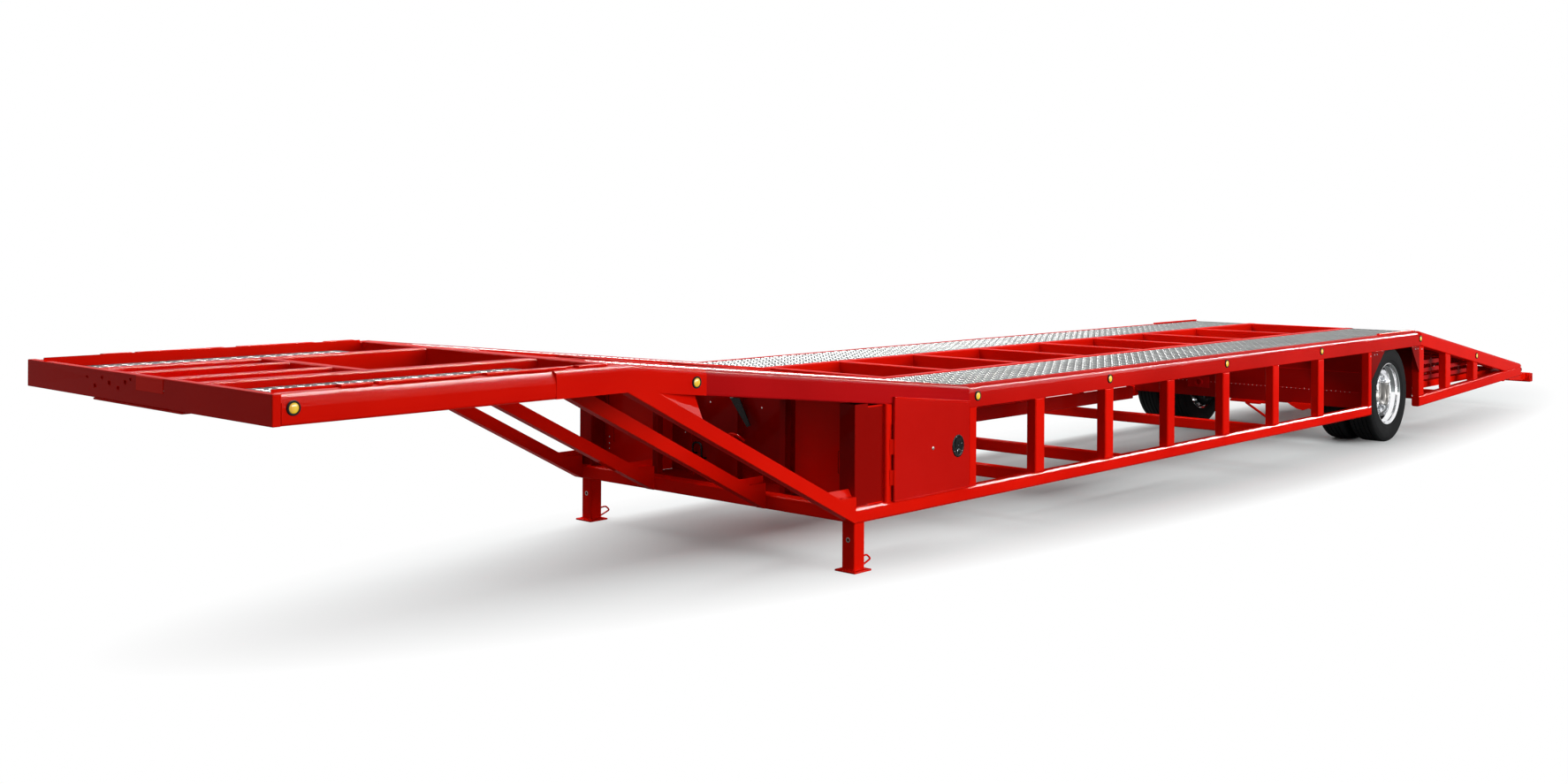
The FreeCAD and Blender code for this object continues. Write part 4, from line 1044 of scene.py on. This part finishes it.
# Drop legs: tube, foot, its handle and the bore for the locking pin

def makeLegs():
    leg = {"tube": 98, "tubeY": 1198, "corner": 9, "foot": 158, "footThick": 12, "bore": 11,
           "boreHeight": 190, "handle": 6, "handleBend": 16, "top": 720, "bead": 5}
    low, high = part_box("leg_left")
    footLow = Vector((high.x - leg["foot"] * mm, high.y - leg["foot"] * mm, 0))
    footTop = leg["footThick"] * mm
    midX, midY = (footLow.x + high.x) / 2, leg["tubeY"] * mm
    half = leg["tube"] / 2 * mm
    boreZ = leg["boreHeight"] * mm
    tube = blockPiece("tube", (midX - half, midY - half, footTop - 1 * mm),
                      (midX + half, midY + half, leg["top"] * mm))
    bevelEdges(tube, leg["corner"] * mm, 4)
    cutWith(tube, rodPiece("bore", (midX - 0.1, midY, boreZ), (midX + 0.1, midY, boreZ),
                           leg["bore"] * mm, 24))
    evenShading(tube, 30)
    foot = softBlock("foot", footLow, (high.x, high.y, footTop), 3.5, 3)
    z = footTop + 2 * mm
    reach = half + 2 * mm
    ring = [(midX + dx * reach, midY + dy * reach, z)
            for dx, dy in ((1, -1), (1, 1), (-1, 1), (-1, -1), (1, -1))]
    rear = footLow.x
    handle = bentRod("handle", rounded([
        (rear + 34 * mm, midY, 72 * mm), (rear - 50 * mm, midY, 78 * mm),
        (rear - 84 * mm, midY, 48 * mm), (rear + 12 * mm, midY, 14 * mm)], leg["handleBend"] * mm),
        leg["handle"] * mm, 12)
    parts = [tube, foot, weldBead(ring, leg["bead"]), handle]
    bothSides(joinAll(parts, "drop_leg"), enamelRed, "leg_SIDE", body="leg_SIDE")
    # the bush lies flush, because the tube has only 1 mm of play in its sleeve
    bush = [(10, -6), (10, 0.1), (11, 0.4), (14, 0.4), (15.5, -0.1), (10, -6)]
    bothSides(turnedPiece("pin_bush", bush, (midX + half, midY, boreZ), 28, "X", 30), machinedSteel,
              body="leg_SIDE")


makeLegs()
print("legs built")


# Weld beads: at the side posts, the leg sleeves, the neck's front corners and the strut tops

def makeBeads():
    bead = {"thin": 2.5, "usual": 4.0, "wide": 5.5, "shortPost": 0.15, "sleeveUp": 91,
            "strutFront": 5.99, "strutRear": 5.79, "strutTop": 1.2045}
    runs = []    # (points, radius)
    for low, high in leftBoxes("side_posts"):
        inner, outer = low.y + 8 * mm, high.y - 5 * mm
        for z in (low.z, high.z):
            if high.z - low.z < bead["shortPost"] and z == high.z:
                continue
            runs.append(([(high.x + 1 * mm, inner, z), (high.x + 1 * mm, outer, z)], bead["usual"]))
            runs.append(([(low.x - 1 * mm, outer, z), (low.x - 1 * mm, inner, z)], bead["usual"]))
    for low, high in leftBoxes("leg_sleeves"):
        z = low.z + bead["sleeveUp"] * mm
        x, y = high.x + 2 * mm, high.y + 2 * mm
        runs.append(([(x, low.y, z), (x, y, z), (low.x, y, z)], bead["wide"]))
    frontX, cornerY = neckHigh.x, neckOuter + 0.5 * mm
    runs.append(([(frontX, cornerY, 1.212), (frontX, cornerY, neckTop - 40 * mm)], bead["thin"]))
    for y in (0.472, 0.548):
        runs.append(([(bead["strutRear"], y, bead["strutTop"]),
                      (bead["strutFront"], y, bead["strutTop"])], bead["usual"]))
    beads = [weldBead(points, radius) for points, radius in runs]
    bothSides(joinAll(beads, "weld_beads"), enamelRed)


makeBeads()
print("welds laid")


# Well walls: strips, rivets, a bracket, hangers under the wall, and bolts on the arch posts

def makeWellTrim():
    well = {"rivet": 3, "pitch": 45, "rivetFrom": -1.15, "rivetRow": 2.3, "stripHalf": 3,
            "stripEnd": 1.19, "lowStrip": 0.51, "highStrip": 0.70}
    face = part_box("wheel_well_plates")[1].x
    trim = []
    for z in (well["highStrip"], well["lowStrip"]):
        trim.append(softBlock("strip", (face - 1 * mm, -well["stripEnd"], z - well["stripHalf"] * mm),
                              (face + 3 * mm, well["stripEnd"], z + well["stripHalf"] * mm), 1.2, 1))
    trim.append(softBlock("bracket", (face - 1 * mm, -0.60, 0.445), (face + 6 * mm, -0.36, 0.56), 2))
    collar = [(26, 0), (26, 26), (30, 30), (38, 30), (42, 26), (42, 0), (26, 0)]
    trim.append(turnedPiece("ring", collar, (face + 4 * mm, -0.47, 0.50), 36, "X", 30))
    # the trim takes the deeper red, as painted shade
    finish(joinAll(trim, "well_wall_trim"), enamelDeep)
    rivets = [(face + 2.5 * mm, well["rivetFrom"] + i * well["pitch"] * mm, well["lowStrip"])
              for i in range(int(well["rivetRow"] / (well["pitch"] * mm)))]
    finish(rivetHeads("well_rivets", rivets, well["rivet"]), zincSteel)


def makeWellHangers():
    # under the wall: an angle with a round brace down from it, and a bowed spring hanger
    hanger = {"ahead": 50, "angleHalf": 14, "bowHalf": 12, "braceRadius": 13}
    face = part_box("wheel_well_plates")[1].x
    mid = face + hanger["ahead"] * mm
    angleHalf, bowHalf = hanger["angleHalf"] * mm, hanger["bowHalf"] * mm
    angle = softBlock("angle", (mid - angleHalf, 0.06, 0.330), (mid + angleHalf, 0.22, 0.352), 3)
    shelf = softBlock("shelf", (face - 4 * mm, -0.11, 0.338), (mid, 0.30, 0.362), 3)
    brace = bentRod("brace", [(mid, 0.07, 0.334), (mid, 0.276, 0.214)], hanger["braceRadius"] * mm, 12)
    bow = facePlate("bow", [(0.50, 0.372), (0.76, 0.372), (0.76, 0.318), (0.72, 0.326), (0.66, 0.306),
                            (0.60, 0.316), (0.54, 0.345)], mid - bowHalf, mid + bowHalf)
    bevelEdges(bow, 3 * mm, 2)
    backing = softBlock("backing", (face - 4 * mm, 0.52, 0.350), (mid, 0.75, 0.372), 3)
    finish(joinAll([angle, shelf, brace, bow, backing], "well_hangers"), enamelRed)


def makeArchBolts():
    bolt = {"radius": 4.5, "places": ((-3.40, 0.868), (-3.46, 0.868), (-4.42, 0.868), (-4.48, 0.868),
                                      (-4.585, 0.86), (-3.306, 0.86))}    # places: (x, z)
    places = [(x, frameOuter - 1 * mm, z) for x, z in bolt["places"]]
    bothSides(hexBolts("arch_bolts", places, bolt["radius"], (0, 1, 0)), zincSteel)


makeWellTrim()
makeWellHangers()
makeArchBolts()
print("wheel wells trimmed")


# Undergear

def makeTank():
    tank = {"radius": 130, "wall": 128.5, "length": 700, "front": 1.1165, "bandWide": 34, "dish": 42,
            "bandIn": 120, "bearerHalf": 25, "bearerDeep": 30}
    front = tank["front"]
    rear = front - tank["length"] * mm
    low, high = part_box("air_tank")
    mid = low.z + tank["radius"] * mm
    wall, outer, half = tank["wall"], tank["radius"], tank["bandWide"] / 2
    bearerHalf, bearerLow = tank["bearerHalf"] * mm, high.z - tank["bearerDeep"] * mm
    # one dished end with the weld round its seam, and the same turned about for the other end
    end = [(0, 0), (45, 3), (85, 11), (110, 22), (124, 34), (wall, tank["dish"]), (wall, 70),
           (outer, 71), (outer, 74), (wall, 75)]
    profile = end + [(radius, tank["length"] - along) for radius, along in reversed(end)] + [(0, 0)]
    parts = [turnedPiece("tank", profile, (rear, 0, mid), 64, "X", 25),
             softBlock("bearer", (low.x, -bearerHalf, bearerLow), (high.x, bearerHalf, high.z), 3)]
    strap = [(127, -half), (129.9, -half), (129.9, half), (127, half), (127, -half)]
    for x in (rear + tank["bandIn"] * mm, front - tank["bandIn"] * mm):
        parts.append(turnedPiece("band", strap, (x, 0, mid), 64, "X", 30))
        parts.append(softBlock("saddle", (x - 20 * mm, -bearerHalf, mid + 124 * mm),
                               (x + 20 * mm, bearerHalf, bearerLow + 1 * mm), 4))
    finish(joinAll(parts, "air_reservoir"), enamelBlack, "air_tank", slot="tank_paint")
    fittings = []    # two drain bosses below, and an elbow at each end
    for start, end, radius in (
            ((rear + 0.35, 0, mid - 0.118), (rear + 0.35, 0, mid - 0.127), 13),
            ((rear + 0.22, 0.03, mid - 0.115), (rear + 0.22, 0.03, mid - 0.124), 13),
            ((front - 0.012, 0.05, mid + 0.06), (front, 0.05, mid + 0.06), 9),
            ((rear + 0.012, -0.05, mid), (rear, -0.05, mid), 9)):
        fittings.append(rodPiece("boss", start, end, radius * mm, 6))
    finish(joinAll(fittings, "tank_fittings", 30), machinedSteel)


def makeSprings():
    # two-fold rubber bellows between a girdle ring, a piston and a bead plate
    low, high = leftBoxes("air_springs")[0]
    place = ((low.x + high.x) / 2, (low.y + high.y) / 2, low.z)
    total = (high.z - low.z) / mm
    bag = [(0, 60), (88, 60), (98, 66), (112, 84), (121, 108), (125, 135), (124, 165), (116, 188),
           (104, 201), (104, 213), (116, 226), (124, 249), (125, 279), (121, 306), (112, 330), (98, 350),
           (80, 364), (0, 364), (0, 60)]
    bellows = turnedPiece("bellows", bag, place, 48, "Z", 35)
    piston = [(0, 0), (96, 0), (100, 4), (100, 34), (94, 50), (86, 62), (0, 62), (0, 0)]
    cap = [(0, 362), (84, 362), (104, 366), (105, 370), (105, total), (0, total), (0, 362)]
    girdle = [(100, 203), (106, 202), (109, 207), (106, 212), (100, 211), (100, 203)]
    metal = [turnedPiece("metal", profile, place, 48, "Z", 30) for profile in (piston, cap, girdle)]
    finish(joinAll([bellows, mirrorOf(bellows, "other")], "spring_bellows"), seatRubber, "air_springs",
           slot="air_spring_rubber")
    bothSides(joinAll(metal, "spring_plates"), enamelBlack)


def makeBrakes(axleX, axleZ):
    # brake chambers with their clamp bands, brackets and push rod lugs
    brake = {"radius": 80, "band": 79.9, "shieldY": 674}
    low, high = leftBoxes("brake_chambers")[0]
    x, z = high.x - brake["radius"] * mm, high.z - brake["radius"] * mm
    length = (high.y - low.y) / mm
    can = [(0, 0), (30, 0), (62, 6), (74, 16), (76, 30), (76, 62), (brake["band"], 64),
           (brake["band"], 80), (76, 82), (74, length - 40), (66, length - 24), (40, length - 16),
           (40, length - 10), (0, length - 10), (0, 0)]
    parts = [turnedPiece("chamber", can, (x, low.y, z), 48, degrees=30),
             softBlock("bracket", (axleX + 50 * mm, high.y - 14 * mm, axleZ - 30 * mm),
                       (x + 10 * mm, high.y, z + 40 * mm), 3),
             softBlock("lug", (x - 8 * mm, low.y + 60 * mm, z - 80 * mm),
                       (x + 8 * mm, low.y + 84 * mm, z - 70 * mm), 2)]
    parts += [mirrorOf(part, "other") for part in parts]
    finish(joinAll(parts, "brake_cans"), enamelBlack, "brake_chambers")

    # pressed dust shields that close the drums on the inside; drawn wide and black, they also
    # darken the rims' inner side as painted shade
    pressed = [(58, 6), (150, 6), (164, 0), (252, 0), (262, 8), (262, 24), (259, 24), (259, 10),
               (250, 3), (166, 3), (152, 9), (58, 9), (58, 6)]
    shield = turnedPiece("dust_shield", pressed, (axleX, brake["shieldY"] * mm, axleZ), 48, degrees=30)
    bothSides(shield, enamelBlack)


def makeUBolts(axleX, axleZ):
    # two U-bolts a side, bent over the axle tube and nutted under a seat plate
    bolt = {"half": 78, "radius": 9, "nutRadius": 15, "bend": 50, "shankTop": 0.12, "bowLow": 0.10,
            "bowTop": 0.145, "seatTop": 0.075, "nutLow": 0.10}
    half, radius = bolt["half"] * mm, bolt["radius"] * mm
    seatZ = axleZ - bolt["seatTop"]
    parts = []
    for y in (0.43, 0.64):
        for x in (axleX - half, axleX + half):
            parts.append(rodPiece("shank", (x, y, seatZ), (x, y, axleZ + bolt["shankTop"]), radius, 14))
            parts.append(rodPiece("nut", (x, y, axleZ - bolt["nutLow"]), (x, y, seatZ),
                                  bolt["nutRadius"] * mm, 6))
        bow = [(axleX + side * half, y, axleZ + rise) for side, rise in (
            (-1, bolt["bowLow"]), (-1, bolt["bowTop"]), (1, bolt["bowTop"]), (1, bolt["bowLow"]))]
        parts.append(bentRod("saddle", rounded(bow, bolt["bend"] * mm), radius, 12))
    parts.append(softBlock("seat", (axleX - 95 * mm, 0.415, axleZ - 0.088),
                           (axleX + 95 * mm, 0.655, axleZ - 0.072), 3))
    bothSides(joinAll(parts, "axle_u_bolts", 30), enamelBlack)


def makeRails():
    # a rail hung under the deck on each side of the air tank, and the line channel on the right
    rail = {"front": 2.0, "rear": -0.25, "top": 740, "deep": 100, "wide": 40, "y": 505,
            "hangers": (1.42, 0.52, -0.2), "hangerHalf": 25, "hangerThick": 6, "hangerTop": 0.90}
    y, top, halfWide = rail["y"] * mm, rail["top"] * mm, rail["wide"] / 2 * mm
    halfLong, halfThick = rail["hangerHalf"] * mm, rail["hangerThick"] * mm
    parts = [softBlock("bar", (rail["rear"], y - halfWide, (rail["top"] - rail["deep"]) * mm),
                       (rail["front"], y + halfWide, top), 5, 1)]
    for x in rail["hangers"]:
        parts.append(softBlock("hanger", (x - halfLong, y - halfThick, top - 20 * mm),
                               (x + halfLong, y + halfThick, rail["hangerTop"]), 2, 1))
    # the rail and, below, the channel take the darkest red, as painted shade under the deck
    bothSides(joinAll(parts, "underdeck_rail"), enamelShadow)
    lines = {"front": 3.02, "rear": -3.20, "clips": (2.6, 1.0, -0.6, -2.1), "clipHalf": 12}
    parts = [softBlock("channel", (lines["rear"], -1.208, 0.455), (lines["front"], -1.160, 0.500), 4, 1)]
    for x in lines["clips"]:
        parts.append(softBlock("clip", (x - lines["clipHalf"] * mm, -1.209, 0.43),
                               (x + lines["clipHalf"] * mm, -1.15, 0.505), 2, 1))
    finish(joinAll(parts, "line_channel"), enamelShadow)


makeRails()
makeTank()
makeSprings()
axleMid = sum(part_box("axle"), Vector()) / 2
makeBrakes(axleMid.x, axleMid.z)
makeUBolts(axleMid.x, axleMid.z)
print("undergear fitted")


# Tail: rubber buffers, bumper trim, ramp guides with slats across, and grips on the ramps

def makeBuffers():
    buffer = {"radius": 38, "waist": 36, "long": 34}
    radius, waist = buffer["radius"], buffer["waist"]
    low, high = leftBoxes("rear_buffers")[0]
    profile = [(0, -buffer["long"]), (26, -buffer["long"]), (34, -31), (radius, -25), (radius, -18),
               (waist, -16), (waist, -13), (radius, -11), (radius, 0), (0, 0), (0, -buffer["long"])]
    left = turnedPiece("rear_buffer", profile, (high.x, (low.y + high.y) / 2, (low.z + high.z) / 2),
                       40, "X", 30)
    finish(joinAll([left, mirrorOf(left, "other")], "tail_buffers"), seatRubber, "rear_buffers")


def makeBumperTrim():
    trim = {"capIn": 1.289, "capOut": 1.294, "capFrom": 4, "capTo": 96, "stripHalf": 1.27,
            "stripFrom": 12, "stripTo": 88}
    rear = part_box("rear_bumper")[0].x
    parts = []
    for y0, y1 in ((-trim["capOut"], -trim["capIn"]), (trim["capIn"], trim["capOut"])):
        parts.append(softBlock("cap", (rear + trim["capFrom"] * mm, y0, 0.304),
                               (rear + trim["capTo"] * mm, y1, 0.396), 2))
    parts.append(softBlock("strip", (rear + trim["stripFrom"] * mm, -trim["stripHalf"], 0.3995),
                           (rear + trim["stripTo"] * mm, trim["stripHalf"], 0.4025), 1))
    finish(joinAll(parts, "bumper_trim"), enamelRed)


def makeRampGuides():
    # angles that the ramps slide between, hung on straps from slats across the tail
    guide = {"deep": 44, "thick": 8, "inner": 22, "outer": 14, "half": 14,
             "rows": ((22, -6.75), (100, -6.35), (180, -5.9)),    # (rise in mm, rear end)
             "straps": ((-5.35, 0.79), (-6.15, 0.655))}    # (x, top)
    slat = {"from": -4.95, "pitch": 0.40, "count": 6, "deep": 24, "under": 0.115, "half": 1.20,
            "endTop": 0.533}
    rampLow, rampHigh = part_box("ramp_left")
    half = guide["half"] * mm
    strapLow = rampHigh.z + guide["rows"][0][0] * mm
    guides = []
    for y in (rampLow.y - guide["inner"] * mm, rampHigh.y + guide["outer"] * mm):
        for rise, rear in guide["rows"]:
            z = rampHigh.z + rise * mm
            far = (crestX, y + guide["thick"] * mm, z + guide["deep"] * mm)
            guides.append(softBlock("guide", (rear, y, z), far, 2, 1))
        for x, top in guide["straps"]:
            guides.append(softBlock("strap", (x - half, y - 5 * mm, strapLow),
                                    (x + half, y + 1 * mm, top), 1.5, 1))
    # guides and slats take the deeper red, as painted shade
    bothSides(joinAll(guides, "ramp_guides"), enamelDeep)
    slats = []
    for i in range(slat["count"]):
        x = slat["from"] - i * slat["pitch"]
        fallen = (deckTop - slat["endTop"]) * (crestX - x) / (crestX - tailEnd)
        z = deckTop - fallen - slat["under"]
        slats.append(softBlock("slat", (x - half, -slat["half"], z - slat["deep"] * mm),
                               (x + half, slat["half"], z), 3, 1))
    finish(joinAll(slats, "tail_slats"), enamelDeep)


def makeGrips():
    grip = {"front": 4, "inner": 0.76, "outer": 0.94, "foot": 0.446, "top": 0.462, "bend": 12, "rod": 4}
    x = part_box("ramp_left")[0].x + grip["front"] * mm
    path = [(x, grip["inner"], grip["foot"]), (x, grip["inner"], grip["top"]),
            (x, grip["outer"], grip["top"]), (x, grip["outer"], grip["foot"])]
    rod = bentRod("ramp_grip", rounded(path, grip["bend"] * mm), grip["rod"] * mm, 10)
    bothSides(rod, machinedSteel, body="ramp_SIDE")


makeBuffers()
makeBumperTrim()
makeRampGuides()
makeGrips()
print("tail finished")


# Stage, light and camera

def makeFloor():
    # Pale grey under and beside the trailer, plain white further out: the grey oval round the trailer is a
    # painted shadow, on which the lamps' shadows fall too, and its slight cyan cancels the red light
    # the trailer throws on it. The white begins at fadeFrom and is full at fadeTo, as shares of an oval
    # round the trailer. Reflections keep the grey for longer, and the light that the floor throws back
    # up is held low.
    floor = {"size": 90.0, "middle": -1.5, "seenOval": (11.0, 2.25), "fadeFrom": 0.45, "fadeTo": 0.88,
             "mirrorOval": (8.5, 6.0), "mirrorFrom": 1.0, "mirrorTo": 1.5, "mirrorShare": 0.9,
             "colour": "BCC2C2", "bounceColour": "7C8484"}
    clearPick()
    bpy.ops.mesh.primitive_plane_add(size=floor["size"], location=(0, 0, 0))
    plane = named(bpy.context.object, "studio_floor")
    material, tree = newMaterial("pale studio floor")
    place = addNode(tree, "TexCoord").outputs["Object"]
    ray = addNode(tree, "LightPath").outputs

    def whiteOutside(oval, start, stop):
        halfLong, halfWide = oval
        squeezed = addNode(tree, "Mapping", {"Location": (-floor["middle"] / halfLong, 0, 0),
                                             "Scale": (1 / halfLong, 1 / halfWide, 1)},
                           {"Vector": place})
        away = addNode(tree, "VectorMath", {"operation": "LENGTH"}, {0: squeezed.outputs[0]})
        return addNode(tree, "MapRange", {"From Min": start, "From Max": stop},
                       {"Value": away.outputs["Value"]}).outputs[0]

    def combine(operation, first, second):
        return addNode(tree, "Math", {"operation": operation}, {0: first, 1: second}).outputs[0]

    seen = whiteOutside(floor["seenOval"], floor["fadeFrom"], floor["fadeTo"])
    seen = combine("MULTIPLY", seen, ray["Is Camera Ray"])
    mirrored = whiteOutside(floor["mirrorOval"], floor["mirrorFrom"], floor["mirrorTo"])
    mirrored = combine("MULTIPLY", mirrored,
                       combine("MAXIMUM", ray["Is Glossy Ray"], ray["Is Transmission Ray"]))
    fade = combine("MAXIMUM", seen, mirrored)
    share = addNode(tree, "Math", {"operation": "MULTIPLY", 1: floor["mirrorShare"]},
                    {0: ray["Is Glossy Ray"]}).outputs[0]
    bounce = combine("MAXIMUM", ray["Is Diffuse Ray"], share)
    shade = addNode(tree, "Mix", {"data_type": "RGBA", 6: linear(floor["colour"]),
                                  7: linear(floor["bounceColour"])}, {0: bounce})
    paint = addNode(tree, "BsdfPrincipled", {"Roughness": 0.7, "Specular IOR Level": 0.1},
                    {"Base Color": shade.outputs[2]})
    white = addNode(tree, "Emission", {"Color": (1, 1, 1, 1), "Strength": 1.0})
    mixed = addNode(tree, "MixShader", links={0: fade, 1: paint.outputs[0], 2: white.outputs[0]})
    addNode(tree, "OutputMaterial", links={"Surface": mixed.outputs[0]})
    plane.data.materials.append(material)


def makeWorld():
    # white where the camera, a reflection or glass looks at it, and a soft level light otherwise
    studio = {"strength": 0.24}
    world = bpy.data.worlds.new("soft studio")
    bpy.context.scene.world = world
    world.use_nodes = True
    tree = world.node_tree
    tree.nodes.clear()
    ray = addNode(tree, "LightPath").outputs
    direct = ray["Is Camera Ray"]
    for kind in ("Is Glossy Ray", "Is Transmission Ray"):
        direct = addNode(tree, "Math", {"operation": "MAXIMUM"}, {0: direct, 1: ray[kind]}).outputs[0]
    soft = addNode(tree, "Background", {"Color": (1, 1, 1, 1), "Strength": studio["strength"]})
    plain = addNode(tree, "Background", {"Color": (1, 1, 1, 1), "Strength": 1.0})
    mixed = addNode(tree, "MixShader", links={0: direct, 1: soft.outputs[0], 2: plain.outputs[0]})
    addNode(tree, "OutputWorld", links={"Surface": mixed.outputs[0]})


def makeLights():
    lamps = {  # name: (place, aim, width, height, watts)
        "keyLeft": ((-3.0, 17.0, 4.0), (0, 0, 0.6), 18, 6, 3000),
        "topSoft": ((-1.0, -7.0, 8.5), (-1.0, 0, 0), 18, 6, 2500),
    }
    # these show only as reflections, as thin bright lines on the eased edges of the frame
    glints = {
        "beamGlint": ((-5.5, 1.82, 5.0), (-5.5, 1.82, 0), 21, 0.45, 3000),
        "chordGlint": ((-6.0, 2.56, 5.0), (-6.0, 2.56, 0), 22, 0.4, 3600),
        "neckGlint": ((5.2, 0.35, 5.0), (5.2, 0.35, 0), 6, 2.6, 6400),
        "tailGlint": ((-17.0, 3.12, 5.0), (-17.0, 3.12, 0), 6, 0.45, 1300),
        "shoulderGlint": ((-4.0, 8.5, 7.0), (-4.0, 8.5, 0), 24, 12, 14000),
    }
    enamelled = bpy.data.collections.new("enamelled pieces")
    for piece in bpy.context.scene.objects:
        paints = piece.data.materials if piece.type == "MESH" else []
        if any("enamel" in paint.name for paint in paints if paint):
            enamelled.objects.link(piece)
    for name, (place, aim, width, height, watts) in {**lamps, **glints}.items():
        data = bpy.data.lights.new(name, "AREA")
        data.shape = "RECTANGLE"
        data.size = width
        data.size_y = height
        data.energy = watts
        lamp = bpy.data.objects.new(name, data)
        lamp.location = place
        lamp.visible_diffuse = name in lamps
        if name in glints:
            lamp.light_linking.receiver_collection = enamelled
        lamp.rotation_euler = (Vector(aim) - Vector(place)).to_track_quat("-Z", "Y").to_euler()
        bpy.context.collection.objects.link(lamp)


def makeCamera():
    shot = {"lens": 36.29, "place": (11.410, 7.305, 2.058), "heading": 132.087, "roll": 0.287,
            "shiftX": -0.0107, "shiftY": -0.1053}    # heading and roll in degrees
    data = bpy.data.cameras.new("camera")
    data.lens = shot["lens"]
    data.sensor_width = 36.0
    data.shift_x = shot["shiftX"]
    data.shift_y = shot["shiftY"]
    data.clip_end = 300
    camera = bpy.data.objects.new("camera", data)
    camera.location = shot["place"]
    turn = Matrix.Rotation(math.radians(shot["heading"]), 4, "Z")
    camera.rotation_euler = (turn @ Matrix.Rotation(math.pi / 2, 4, "X")
                             @ Matrix.Rotation(math.radians(shot["roll"]), 4, "Z")).to_euler()
    bpy.context.collection.objects.link(camera)
    bpy.context.scene.camera = camera


makeFloor()
makeWorld()
makeCamera()
bpy.context.scene.view_settings.view_transform = "Standard"

# the CAD nodes that are shown as they are, and those that a piece above stands for, get a finish
nodeMaterials = {
    "neck_treadways": treadAluminium, "deck_treadways": treadAluminium, "axle": enamelBlack,
    "brake_chambers": enamelBlack, "air_springs": seatRubber, "rear_buffers": seatRubber,
    "air_tank": enamelBlack}
for node, source in frame["nodes"].items():
    source.data.materials.clear()
    source.data.materials.append(nodeMaterials.get(node, enamelRed))
makeLights()
print("stage, lights and camera set")
